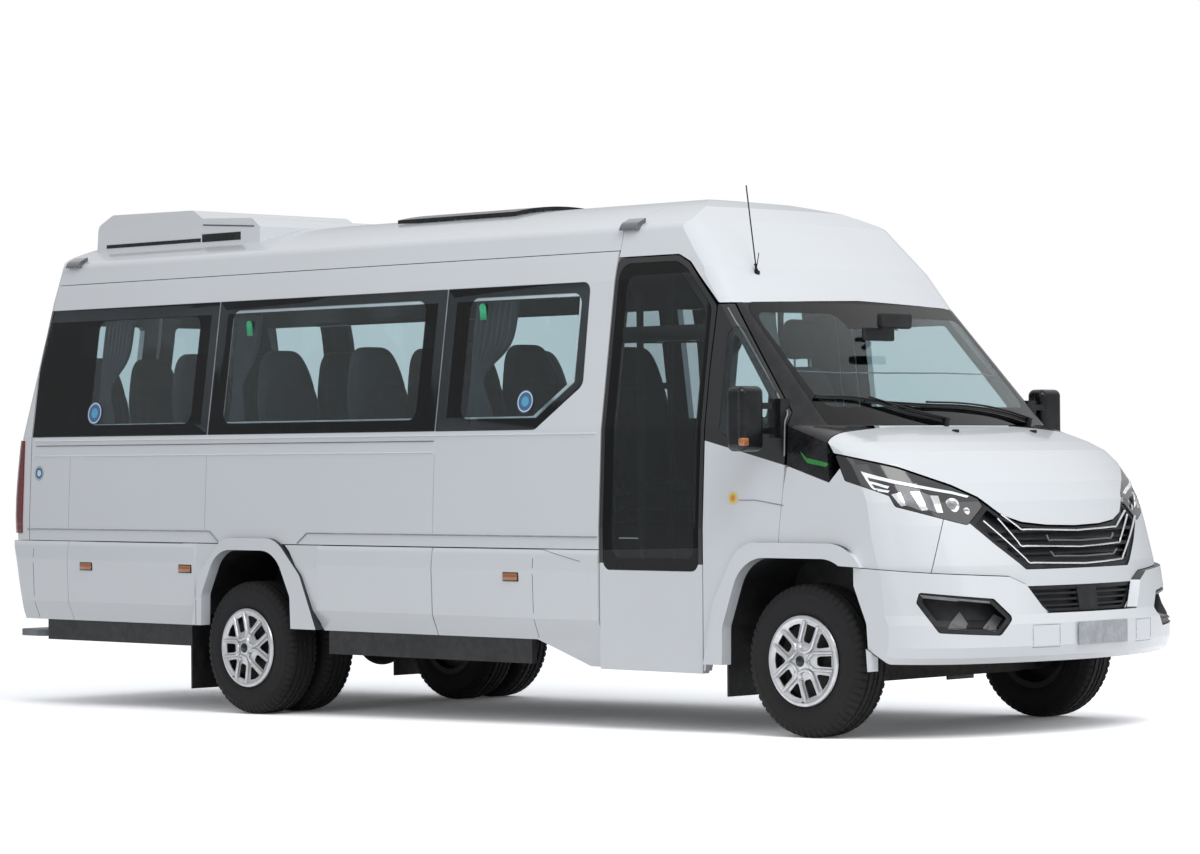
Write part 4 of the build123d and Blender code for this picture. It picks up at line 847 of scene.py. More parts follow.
# ---------------------------------------------------------------- modelling calls
class Bench:
    """Modelling calls whose results are finished as dressed pieces in the row frame."""

    def __init__(self, paints: Paintbox) -> None:
        """Keeps the paintbox that dresses the pieces."""
        self.paints = paints

    @staticmethod
    def alone(obj: Object) -> None:
        """Makes an object the only selected one and the active one."""
        for other in list(bpy.context.selected_objects):
            other.select_set(False)
        bpy.context.view_layer.objects.active = obj
        obj.select_set(True)

    def block(self, low: Point, high: Point, round_by: float = 0.0, segments: int = 3) -> Object:
        """A box with rounded edges.

        Args:
            low: Its lowest corner.
            high: Its highest corner.
            round_by: How far its edges are rounded.
            segments: How many facets a rounded edge has.

        Returns:
            The new object.
        """
        middle = [(a + b) / 2 for a, b in zip(low, high)]
        bpy.ops.mesh.primitive_cube_add(size=1, location=middle)
        obj = bpy.context.object
        obj.scale = [b - a for a, b in zip(low, high)]
        bpy.ops.object.transform_apply(location=True, rotation=True, scale=True)
        return self.rounded(obj, round_by, segments) if round_by else obj

    def rounded(self, obj: Object, width: float, segments: int = 2) -> Object:
        """The object with its sharp edges rounded.

        Args:
            obj: What is rounded.
            width: How far from each edge the rounding starts.
            segments: How many facets a rounded edge has.

        Returns:
            The same object.
        """
        self.alone(obj)
        bevel = obj.modifiers.new("edges", "BEVEL")
        bevel.width, bevel.segments, bevel.limit_method = width, segments, "ANGLE"
        bevel.angle_limit = math.radians(35)
        bpy.ops.object.modifier_apply(modifier=bevel.name)
        return obj

    def surface(self, rows: int, columns: int, place: Callable[[float, float], Sequence[float]],
                merge: float = 0.0) -> Object:
        """A grid whose points are placed by a rule.

        Args:
            rows: Steps of the first share, 0 to 1.
            columns: Steps of the second share.
            place: Gives a point for both shares.
            merge: Points nearer than this are merged.

        Returns:
            The new object.
        """
        bpy.ops.mesh.primitive_grid_add(x_subdivisions=rows, y_subdivisions=columns, size=2)
        obj = bpy.context.object
        for vertex in obj.data.vertices:
            vertex.co = place((vertex.co.x + 1) / 2, (vertex.co.y + 1) / 2)
        self.alone(obj)
        bpy.ops.object.mode_set(mode="EDIT")
        bpy.ops.mesh.select_all(action="SELECT")
        if merge:
            bpy.ops.mesh.remove_doubles(threshold=merge)
        bpy.ops.mesh.normals_make_consistent(inside=False)
        bpy.ops.object.mode_set(mode="OBJECT")
        return obj

    def thicken(self, obj: Object, shift: Sequence[float]) -> None:
        """Turns a sheet into a closed solid.

        Args:
            obj: The sheet.
            shift: From the sheet to the solid's far face.
        """
        self.alone(obj)
        bpy.ops.object.mode_set(mode="EDIT")
        bpy.ops.mesh.select_all(action="SELECT")
        bpy.ops.mesh.extrude_region_move(TRANSFORM_OT_translate={"value": shift})
        bpy.ops.mesh.select_all(action="SELECT")
        bpy.ops.mesh.normals_make_consistent(inside=False)
        bpy.ops.object.mode_set(mode="OBJECT")

    def prism(self, outline: Sequence[Pair], lift: Callable[[float, float, float], Point], depth: float,
              round_by: float = 0.0) -> Object:
        """A flat outline given a thickness.

        Args:
            outline: The outline's points, across and up.
            lift: Gives the place of an across, an up and a depth.
            depth: How thick it is.
            round_by: How far its edges are rounded.

        Returns:
            The new object.
        """
        bpy.ops.mesh.primitive_circle_add(vertices=len(outline), radius=1, fill_type="NGON")
        obj = bpy.context.object
        for vertex, (across, up) in zip(obj.data.vertices, outline):
            vertex.co = lift(across, up, 0.0)
        self.thicken(obj, Vector(lift(*outline[0], depth)) - Vector(lift(*outline[0], 0.0)))
        return self.rounded(obj, round_by, 2) if round_by else obj

    def rod(self, points: Sequence[Sequence[float]], radius: float, closed: bool = False,
            sides: int = 3, flat: float = 1.0, smooth: bool = False) -> Object:
        """A round or flattened bar along points.

        Args:
            points: The points of its middle line.
            radius: Half its width.
            closed: Whether its ends meet.
            sides: How finely its section is rounded.
            flat: Its height as a share of its width.
            smooth: Whether the middle line bends softly through the points.

        Returns:
            The new object.
        """
        path = bpy.data.curves.new("path", "CURVE")
        path.dimensions, path.twist_mode, path.use_fill_caps = "3D", "Z_UP", True
        spline = path.splines.new("BEZIER" if smooth else "POLY")
        ends = spline.bezier_points if smooth else spline.points
        ends.add(len(points) - 1)
        for end, point in zip(ends, points):
            if smooth:
                end.co = point
                end.handle_left_type = end.handle_right_type = "AUTO"
            else:
                end.co = (*point, 1.0)
        spline.use_cyclic_u = closed
        section = bpy.data.curves.new("section", "CURVE")
        ring = section.splines.new("POLY")
        count = 4 * sides
        ring.points.add(count - 1)
        for k, end in enumerate(ring.points):
            angle = 2 * math.pi * k / count
            end.co = (radius * math.cos(angle), radius * flat * math.sin(angle), 0, 1)
        ring.use_cyclic_u = True
        cutter = bpy.data.objects.new("section", section)
        bpy.context.collection.objects.link(cutter)
        path.bevel_mode, path.bevel_object, path.resolution_u = "OBJECT", cutter, 6
        obj = bpy.data.objects.new("path", path)
        bpy.context.collection.objects.link(obj)
        self.alone(obj)
        bpy.ops.object.convert(target="MESH")
        bpy.data.objects.remove(cutter)
        return bpy.context.object

    def turned(self, profile: Sequence[Pair], steps: int = 96,
               shape: Optional[Callable[[float, float, float], Pair]] = None) -> Object:
        """A ring turned about the Y axis.

        Args:
            profile: Radius and offset along Y of each point; the last joins the first.
            steps: How many steps the turn has.
            shape: Changes a point by its radius, offset and angle.

        Returns:
            The new object.
        """
        loop = list(profile) + [profile[0]]

        def place(around: float, along: float) -> Point:
            """The point at one share of the turn and of the profile."""
            radius, offset = loop[round(along * (len(loop) - 1))]
            angle = around * 2 * math.pi
            if shape is not None:
                radius, offset = shape(radius, offset, angle)
            return radius * math.cos(angle), offset, radius * math.sin(angle)

        return self.surface(steps, len(loop) - 1, place, 1e-5)

    def cut(self, obj: Object, tool: Object, keep: str = "DIFFERENCE") -> Object:
        """The object after a boolean with a tool, which is used up.

        Args:
            obj: What is cut.
            tool: The shape that cuts it.
            keep: The boolean's operation.

        Returns:
            The same object.
        """
        self.alone(obj)
        step = obj.modifiers.new("cut", "BOOLEAN")
        step.operation, step.object, step.solver = keep, tool, "EXACT"
        bpy.ops.object.modifier_apply(modifier=step.name)
        bpy.data.objects.remove(tool)
        return obj

    def joined(self, pieces: Sequence[Object]) -> Object:
        """Several objects made one."""
        self.alone(pieces[0])
        for piece in pieces:
            piece.select_set(True)
        bpy.ops.object.join()
        return bpy.context.object

    def again(self, obj: Object, matrix: Matrix) -> Object:
        """A copy with a mesh of its own, moved by a matrix.

        Args:
            obj: The model.
            matrix: Where the copy goes.

        Returns:
            The copy.
        """
        twin = obj.copy()
        twin.data = obj.data.copy()
        bpy.context.collection.objects.link(twin)
        twin.data.transform(matrix)
        if matrix.determinant() < 0:
            twin.data.flip_normals()
        return twin

    def mirrored(self, obj: Object) -> Object:
        """A copy on the vehicle's other side."""
        return self.again(obj, Matrix.Scale(-1, 4, (0, 1, 0)))

    def finish(self, obj: Union[Object, list[Object]], name: str, look: Union[Look, Finish], slot: str,
               body: str = "body", stance: Stance = Stance.BODY, smooth: float = 35.0) -> Object:
        """Names a piece, puts it in the row frame, dresses it and hangs it on its body.

        Args:
            obj: The piece, or several that become one, drawn in its stance's frame.
            name: Its name.
            look: Its finish.
            slot: Its material slot of the record; not used.
            body: The body that it rides on.
            stance: The frame that it was drawn in.
            smooth: The angle above which its edges stay sharp, in degrees.

        Returns:
            The finished object.
        """
        if isinstance(obj, list):
            obj = self.joined(obj)
        obj.name = obj.data.name = name
        obj.data.transform(obj.matrix_world)
        obj.matrix_world = Matrix.Identity(4)
        obj.data.transform(stance.matrix())
        obj.data.materials.clear()
        obj.data.materials.append(self.paints.get(look))
        self.alone(obj)
        bpy.ops.object.shade_smooth_by_angle(angle=math.radians(smooth))
        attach(obj, body)
        return obj


class Draper:
    """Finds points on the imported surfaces, so that trim can follow them."""

    def __init__(self, bench: Bench) -> None:
        """Keeps the bench and the search trees that were built."""
        self.bench = bench
        self.trees: dict[str, BVHTree] = {}
        self.into = Stance.BODY.matrix()
        self.back = self.into.inverted()

    def tree(self, node: str) -> BVHTree:
        """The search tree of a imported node."""
        if node not in self.trees:
            obj = bpy.data.objects[node]
            self.trees[node] = BVHTree.FromObject(obj, bpy.context.evaluated_depsgraph_get())
        return self.trees[node]

    def hit(self, nodes: Sequence[str], start: Sequence[float], along: Sequence[float]) -> Optional[Vector]:
        """The first point that a ray meets on some nodes, in the body frame.

        Args:
            nodes: The nodes that it may meet.
            start: Where the ray starts, in the body frame.
            along: Where it points, in the body frame.

        Returns:
            The point, or None.
        """
        origin = self.into @ Vector(start)
        heading = (self.into.to_3x3() @ Vector(along)).normalized()
        best, near = None, math.inf
        for node in nodes:
            place, _, _, far = self.tree(node).ray_cast(origin, heading)
            if place is not None and far < near:
                best, near = place, far
        return None if best is None else self.back @ best

    def line(self, nodes: Sequence[str], points: Sequence[Pair], facing: "Facing", side: Side = Side.RIGHT,
             step: float = 0.06, proud: float = 0.0, reach: float = 0.0) -> list[Vector]:
        """A line dropped on the vehicle along one direction.

        Args:
            nodes: What it lies on.
            points: Its points, on the direction's two coordinates.
            facing: The direction.
            side: Which side, where that matters.
            step: The spacing of its points.
            proud: How far outside the surface it stands.
            reach: How far above and below a point its highest neighbour may lie, over a ribbed surface.

        Returns:
            Its points in the body frame.
        """
        found: list[Vector] = []
        for (a0, b0), (a1, b1) in zip(points, points[1:]):
            count = max(1, math.ceil(math.hypot(a1 - a0, b1 - b0) / step))
            for k in range(count + 1):
                share = k / count
                a, b = a0 + (a1 - a0) * share, b0 + (b1 - b0) * share
                start, heading = facing.ray(a, b, side)
                place = self.hit(nodes, start, heading)
                for off in (-reach, -reach / 2, reach / 2, reach) if reach else ():
                    other = self.hit(nodes, *facing.ray(a, b + off, side))
                    if other is not None and (place is None or (other - place).dot(Vector(heading)) < 0):
                        place = Vector((other.x, other.y, b))
                if place is not None:
                    place = place - Vector(heading).normalized() * proud
                    if not found or (place - found[-1]).length > 0.003:
                        found.append(place)
        return found

    def patch(self, nodes: Sequence[str], edges: tuple[Sequence[Pair], Sequence[Pair]], facing: "Facing",
              side: Side = Side.RIGHT, thick: float = 0.004, steps: tuple[int, int] = (24, 4),
              proud: float = 0.0005) -> Object:
        """A thin piece between two lines, lying on the vehicle.

        Args:
            nodes: What it lies on.
            edges: Its upper and its lower line.
            facing: The direction that it is dropped along.
            side: Which side.
            thick: How far it stands out.
            steps: How many steps it has along and across.
            proud: How far its back stands outside the surface.

        Returns:
            The piece.
        """
        def along(line: Sequence[Pair], share: float) -> Vector:
            """A point of a line by its share of the points."""
            spot = share * (len(line) - 1)
            k = min(int(spot), len(line) - 2)
            return Vector(line[k]).lerp(Vector(line[k + 1]), spot - k)

        def place(u: float, v: float) -> Vector:
            """The dropped point of both shares."""
            a, b = along(edges[0], u).lerp(along(edges[1], u), v)
            start, heading = facing.ray(a, b, side)
            spot = self.hit(nodes, start, heading)
            if spot is None:
                return memory[-1] if memory else Vector((0, 0, 0))
            spot = spot - Vector(heading).normalized() * proud
            memory.append(spot)
            return spot

        memory: list[Vector] = []
        obj = self.bench.surface(*steps, place)
        self.bench.thicken(obj, -Vector(facing.ray(*edges[0][0], side)[1]).normalized() * thick)
        return obj


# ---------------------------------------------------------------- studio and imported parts
@dataclass
class Studio:
    """White studio: camera, soft lamps, world and floor."""

    place: Point = (14.3843, -14.2190, 1.1850)
    right: Point = (0.71311, 0.70080, -0.01886)
    up: Point = (0.02427, 0.00221, 0.99970)
    lens: float = 110.06
    shift: Pair = (0.00301, 0.0093)
    floor_radius: float = 60.0

    def build(self, bench: Bench) -> None:
        """Places everything that isn't the vehicle."""
        self.camera()
        self.world()
        self.lamp("key", (9.5, -4.0, 9.5), 6.5, 560.0)
        self.lamp("fill", (2.0, -13.0, 5.5), 9.0, 170.0)
        self.lamp("front_fill", (14.0, 1.5, 5.0), 6.0, 130.0)
        bpy.ops.mesh.primitive_circle_add(vertices=96, radius=self.floor_radius, fill_type="NGON")
        floor = bpy.context.object
        floor.name = floor.data.name = "studio_floor"
        floor.data.materials.append(bench.paints.get(Look.FLOOR))
        bpy.context.scene.view_settings.view_transform = "Standard"

    def camera(self) -> None:
        """Places the camera that looks at the front right corner."""
        right, up = Vector(self.right).normalized(), Vector(self.up).normalized()
        back = right.cross(up).normalized()
        data = bpy.data.cameras.new("camera")
        data.lens, data.sensor_width = self.lens, 36.0
        data.shift_x, data.shift_y = self.shift
        data.clip_end = 200.0
        camera = bpy.data.objects.new("camera", data)
        bpy.context.collection.objects.link(camera)
        camera.matrix_world = Matrix.Translation(self.place) @ Matrix((right, up, back)).transposed().to_4x4()
        bpy.context.scene.camera = camera

    def lamp(self, name: str, place: Point, size: float, power: float) -> None:
        """One large square lamp that faces the vehicle.

        Args:
            name: Its name.
            place: Where it hangs.
            size: Its width.
            power: Its strength in watts.
        """
        data = bpy.data.lights.new(name, "AREA")
        data.shape, data.size, data.energy = "SQUARE", size, power
        lamp = bpy.data.objects.new(name, data)
        bpy.context.collection.objects.link(lamp)
        aim = Vector((0.0, 0.0, 1.2)) - Vector(place)
        lamp.matrix_world = Matrix.Translation(place) @ aim.to_track_quat("-Z", "Y").to_matrix().to_4x4()

    @staticmethod
    def world() -> None:
        """White to the camera, soft grey at the horizon to reflections."""
        world = bpy.data.worlds.new("studio")
        bpy.context.scene.world = world
        world.use_nodes = True
        w = Wiring(world.node_tree)
        shader = world.node_tree.nodes["Background"]
        rays = w.add("LightPath")
        height = w.parts(w.add("TexCoord").outputs["Generated"])[2]
        mirror = w.mix(w.span(height, 0.02, 0.75), (0.42, 0.43, 0.45), (1.0, 1.0, 1.0))
        mirror = w.mix(w.span(height, -0.05, 0.02), (0.55, 0.55, 0.56), mirror)
        tone = w.mix(rays.outputs["Is Glossy Ray"], (0.50, 0.51, 0.53), mirror)
        seen = w.math("MAXIMUM", rays.outputs["Is Camera Ray"], rays.outputs["Is Transmission Ray"])
        w.fill(shader, Color=w.mix(seen, tone, (1.0, 1.0, 1.0)), Strength=1.0)


@dataclass
class PackedParts:
    """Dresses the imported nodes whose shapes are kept."""

    looks: tuple[tuple[Look, tuple[str, ...]], ...] = (
        (Look.PAINT,
         ("side_right", "side_left", "roof_panel", "roof_cap", "bonnet", "fenders", "flares", "front_bumper",
          "front_face", "rear_bumper", "rear_wall", "rear_door_left", "rear_door_right", "skirts")),
        (Look.PAINT_CAB, ("cab_panels", "driver_door")),
        (Look.PAINT_ENTRY, ("plug_door",)),
        (Look.PAINT_ROOF_UNIT, ("air_conditioner",)),
        (Look.GLOSS_BLACK, ("pillar_covers", "mirror_right", "mirror_left", "roof_hatch")),
        (Look.BLACK_PLASTIC, ("antenna", "grille", "lower_grilles", "mudflaps_and_sills", "arch_liners")),
        (Look.LAMP_DARK, ("headlamps",)),
        (Look.GREY_LENS, ("marker_lamps",)),
        (Look.RED, ("tail_lamps",)),
        (Look.SIDE_WINDOW, ("side_glass",)),
        (Look.CAB_WINDOW, ("driver_door_glass",)),
        (Look.ENTRY_WINDOW, ("plug_door_glass",)),
        (Look.FRONT_WINDOW, ("windscreen",)),
        (Look.REAR_WINDOW, ("rear_door_glass_left", "rear_door_glass_right")),
        (Look.CHASSIS, ("ladder_frame", "tanks", "plug_door_arms")),
        (Look.CASTING, ("engine", "front_axle", "rear_axle", "knuckle_left", "knuckle_right")),
        (Look.WALKWAY, ("floor",)),
        (Look.GREY_PLASTIC, ("rear_step",)),
        (Look.DARK_TRIM, ("dashboard", "steering_wheel")),
        (Look.PLATE, ("number_plate",)),
        (Look.SEAT, ("seats",)),
        (Look.WHEEL_SILVER, ("rim_front_left", "rim_front_right", "rims_rear_left", "rims_rear_right")),
        (Look.TYRE, ("tyre_front_left", "tyre_front_right", "tyres_rear_left", "tyres_rear_right")),
    )

    def dress(self, bench: Bench, frame: dict) -> None:
        """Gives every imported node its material.

        Args:
            bench: The bench, for its paintbox.
            frame: The loaded frame.
        """
        done = set()
        for look, names in self.looks:
            for name in names:
                mesh = bpy.data.objects[name].data
                material = bench.paints.get(look)
                for k in range(len(mesh.materials)):
                    mesh.materials[k] = material
                if not mesh.materials:
                    mesh.materials.append(material)
                done.add(name)
        left = set(frame["nodes"]) - done
        if left:
            log.warning("no finish given to %s", sorted(left))


class Facing(Enum):
    """From where trim is dropped on the vehicle, and what its two coordinates are."""

    SIDE = "side"
    CORNER = "corner"
    FRONT = "front"
    TOP = "top"

    def ray(self, a: float, b: float, side: Side) -> tuple[Point, Point]:
        """The ray of one point of a line.

        Args:
            a: Along x for SIDE and TOP, along y for FRONT, and along (x, y) turned by 45 degrees
                for CORNER.
            b: Along z, or along y for TOP.
            side: The side, for SIDE and CORNER.

        Returns:
            Its start and its heading.
        """
        s, root = side.value, math.sqrt(0.5)
        away = RAY_START_CORNER * root
        return {
            Facing.SIDE: ((a, s * RAY_START_SIDE, b), (0, -s, 0)),
            Facing.CORNER: ((a * root + away, s * (-a * root + away), b), (-root, -s * root, 0)),
            Facing.FRONT: ((RAY_START_FRONT, a, b), (-1, 0, 0)),
            Facing.TOP: ((a, b, RAY_START_TOP), (0, 0, -1)),
        }[self]


@dataclass
class Assembly:
    """A group of pieces that is modelled on one bench and dropped with one draper."""

    bench: Bench
    draper: Draper

    def build(self) -> None:
        """Models every piece of the group."""
        raise NotImplementedError


# ---------------------------------------------------------------- wheels
@dataclass(frozen=True)
class TreadCut:
    """A cut that repeats round a tyre: its place on the section, its share of a block and its depth."""

    height: float
    inner: float
    outer: float
    share: float
    sink: float
    narrow: float = 0.0


@dataclass
class Wheels(Assembly):
    """Tyre, steel wheel, silver trim, cap and valve at four corners, and the inner rear wheels."""

    radius: float = 0.3695
    half: float = 0.109
    seat: float = 0.203
    blocks: int = 60
    arms: int = 5
    front_y: float = 0.888
    rear_y: float = 0.902
    inner_y: float = 0.632
    dish: tuple[Pair, ...] = ((0.0, 0.134), (0.030, 0.133), (0.048, 0.128), (0.075, 0.117), (0.12, 0.112),
                              (0.185, 0.107), (0.3, 0.107))
    tread_slant: float = 4.0
    cuts: tuple[TreadCut, ...] = (TreadCut(0.036, 0.055, 1.0, 0.24, 0.0075, 0.028),
                                  TreadCut(0.0015, -1.0, 0.05, 0.18, 0.006))
    rib_spread: float = 0.041
    rib_root: float = 0.088
    rib_tip: float = 0.190
    inner_parts: tuple[str, ...] = ("tyre", "steel_wheel")

    def tyre(self) -> Object:
        """A tyre with sidewall rings, shoulder blocks and tread grooves, about the Y axis.

        Returns:
            The tyre.
        """
        h, r = self.half, self.radius
        side = [(self.seat, h - 0.022), (self.seat + 0.016, h - 0.009), (self.seat + 0.030, h - 0.0035),
                (self.seat + 0.034, h - 0.0055), (self.seat + 0.050, h - 0.001),
                (self.seat + 0.070, h - 0.0005), (self.seat + 0.095, h - 0.0015),
                (self.seat + 0.110, h - 0.004), (self.seat + 0.114, h - 0.0025),
                (self.seat + 0.120, h - 0.0055), (r - 0.034, h - 0.008), (r - 0.022, h - 0.014),
                (r - 0.010, h - 0.021), (r - 0.004, h - 0.032), (r - 0.002, h - 0.040)]
        crown = [(r - 0.001, 0.060), (r - 0.010, 0.057), (r - 0.010, 0.050), (r, 0.047), (r, 0.022),
                 (r - 0.010, 0.019), (r - 0.010, 0.011), (r, 0.008)]
        profile = side + crown
        profile += [(radius, -offset) for radius, offset in reversed(profile)]
        step = 2 * math.pi / self.blocks

        def tread(radius: float, offset: float, angle: float) -> Pair:
            """Sinks the gaps between the shoulder blocks and the tread's cross cuts."""
            part = (angle / step + (0.5 if offset > 0 else 0.0) + abs(offset) * self.tread_slant) % 1.0
            for cut in self.cuts:
                if radius > r - cut.height and cut.inner < abs(offset) < cut.outer and part < cut.share:
                    return radius - cut.sink, offset * (1 - cut.narrow)
            return radius, offset

        return self.bench.turned(profile, self.blocks * 4, tread)

    def steel(self) -> Object:
        """The black steel wheel behind the trim; its near-black colour is also painted shade seen through the
        trim's slots and windows.
        """
        h, r = self.half, self.seat
        rows = [(r + 0.017, 0.004 - h), (r - 0.001, 0.014 - h), (r - 0.004, 0.05 - h), (r - 0.004, h - 0.014),
                (r + 0.017, h - 0.004), (r - 0.013, h - 0.010), (r - 0.016, -0.018), (r - 0.05, -0.022),
                (0.09, -0.045), (0.062, -0.046), (0.062, -0.058), (0.09, -0.057), (r - 0.055, -0.036),
                (r - 0.016, -0.050), (r - 0.013, 0.010 - h)]
        return self.bench.turned(rows, 72)

    def face(self, radius: float) -> float:
        """How far out the trim's face stands at a radius."""
        return read_rows(self.dish, radius)

    def trim(self) -> Object:
        """The silver trim: a dished cover with U-shaped arms, slots and windows, outside towards -Y.

        Returns:
            The trim.
        """
        radii = [0.020, 0.034, 0.048, 0.062, 0.078, 0.10, 0.13, 0.16, 0.182]
        outer = [(r, -self.face(r)) for r in radii]
        lip = [(0.190, -0.111), (0.198, -0.1165), (0.208, -0.1175), (0.217, -0.114), (0.2205, -0.107),
               (0.216, -0.101)]
        inner = [(r, 0.006 - self.face(r)) for r in reversed(radii)]
        dish = self.bench.turned(outer + lip + inner, 120)
        slot = [(0.093, -0.014), (0.099, -0.021), (0.110, -0.0245), (0.178, -0.0275), (0.178, 0.0275),
                (0.110, 0.0245), (0.099, 0.021), (0.093, 0.014)]
        window = [(0.113, -0.004), (0.122, -0.012), (0.170, -0.040), (0.177, -0.036), (0.182, 0.0),
                  (0.177, 0.036), (0.170, 0.040), (0.122, 0.012), (0.113, 0.004)]
        tools = []
        for k in range(self.arms):
            for outline, turn in ((slot, 0.0), (window, 0.5)):
                angle = (k + turn) * 2 * math.pi / self.arms
                tools.append(self.bench.prism(outline, self.turned_lift(angle, -0.2), 0.18))
        self.bench.cut(dish, self.bench.joined(tools))
        ribs = [self.bench.rod([(x, -self.face(math.hypot(x, z)) - 0.001, z) for x, z in self.arm_path(k)],
                               0.0155, sides=4, flat=0.62) for k in range(self.arms)]
        return self.bench.joined([dish] + ribs)

    @staticmethod
    def turned_lift(angle: float, start: float) -> Callable[[float, float, float], Point]:
        """Places a flat outline of radius and cross offset, turned about the Y axis.

        Args:
            angle: The turn.
            start: Its place along Y.

        Returns:
            The rule for Bench.prism.
        """
        c, s = math.cos(angle), math.sin(angle)
        return lambda along, across, depth: (along * c - across * s, start + depth, along * s + across * c)

    def arm_path(self, arm: int) -> list[Pair]:
        """The U-shaped middle line of one arm's rib, as x and z.

        Args:
            arm: Which arm.

        Returns:
            Its points.
        """
        spread, root, tip = self.rib_spread, self.rib_root, self.rib_tip
        path = [(tip, spread * 1.06), ((tip + root) / 2, spread * 1.03)]
        path += [(root + spread * math.cos(a), spread * math.sin(a))
                 for a in [math.pi * (0.5 + k / 10) for k in range(11)]]
        path += [((tip + root) / 2, -spread * 1.03), (tip, -spread * 1.06)]
        angle = arm * 2 * math.pi / self.arms
        c, s = math.cos(angle), math.sin(angle)
        return [(x * c - z * s, x * s + z * c) for x, z in path]

    def build(self) -> None:
        """Models one wheel and puts its copies on every hub."""
        tyre, steel, trim = self.tyre(), self.steel(), self.trim()
        cap = self.bench.turned([(0.0005, -0.1395), (0.018, -0.1385), (0.0265, -0.135), (0.0285, -0.128),
                                 (0.0005, -0.126)], 48)
        valve = self.bench.rod([(0.0, -0.112, -0.198), (0.0, -0.124, -0.196)], 0.003)
        for side in Side:
            flip = Matrix.Identity(4) if side is Side.RIGHT else Matrix.Scale(-1, 4, (0, 1, 0))
            self.hang((tyre, steel, trim, cap, valve), side, flip)
        for model in (tyre, steel, trim, cap, valve):
            bpy.data.objects.remove(model)

    def hang(self, models: Sequence[Object], side: Side, flip: Matrix) -> None:
        """Places one side's wheels.

        Args:
            models: Tyre, steel wheel, trim, cap and valve.
            side: Which side.
            flip: Mirrors the models for the left side.
        """
        names = ("tyre", "steel_wheel", "trim", "cap", "valve")
        looks = (Look.TYRE, Look.WHEEL_STEEL, Look.WHEEL_SILVER, Look.GLOSS_BLACK, Look.SEAL)
        slots = ("tyre_rubber", "chassis_black", "wheel_silver", "gloss_black", "tyre_rubber")
        spots = (("front", 0.0, self.front_y, f"wheel_front_{side.word}", 0.21),
                 ("rear", REAR_AXLE_X, self.rear_y, f"wheels_rear_{side.word}", 1.0),
                 ("rear_inner", REAR_AXLE_X, self.inner_y, f"wheels_rear_{side.word}", 2.2))
        for place, x, y, body, turn in spots:
            move = Matrix.Translation((x, side.value * y, AXLE_HEIGHT)) @ flip
            if place == "rear_inner":
                move = move @ Matrix.Scale(-1, 4, (0, 1, 0))
            for name, model, look, slot in zip(names, models, looks, slots):
                if place == "rear_inner" and name not in self.inner_parts:
                    continue
                around = turn if name == "tyre" else 0.0 if place == "front" else turn * 0.6
                piece = self.bench.again(model, move @ Matrix.Rotation(around, 4, "Y"))
                self.bench.finish(piece, f"{name}_{place}_{side.word}", look, slot, body, Stance.GROUND, 40.0)
                group = "_front_" if place == "front" else "s_rear_"
                if name == "tyre" and place != "rear_inner":
                    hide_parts(f"tyre{group}{side.word}")
                if name == "steel_wheel" and place != "rear_inner":
                    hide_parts(f"rim{group}{side.word}")


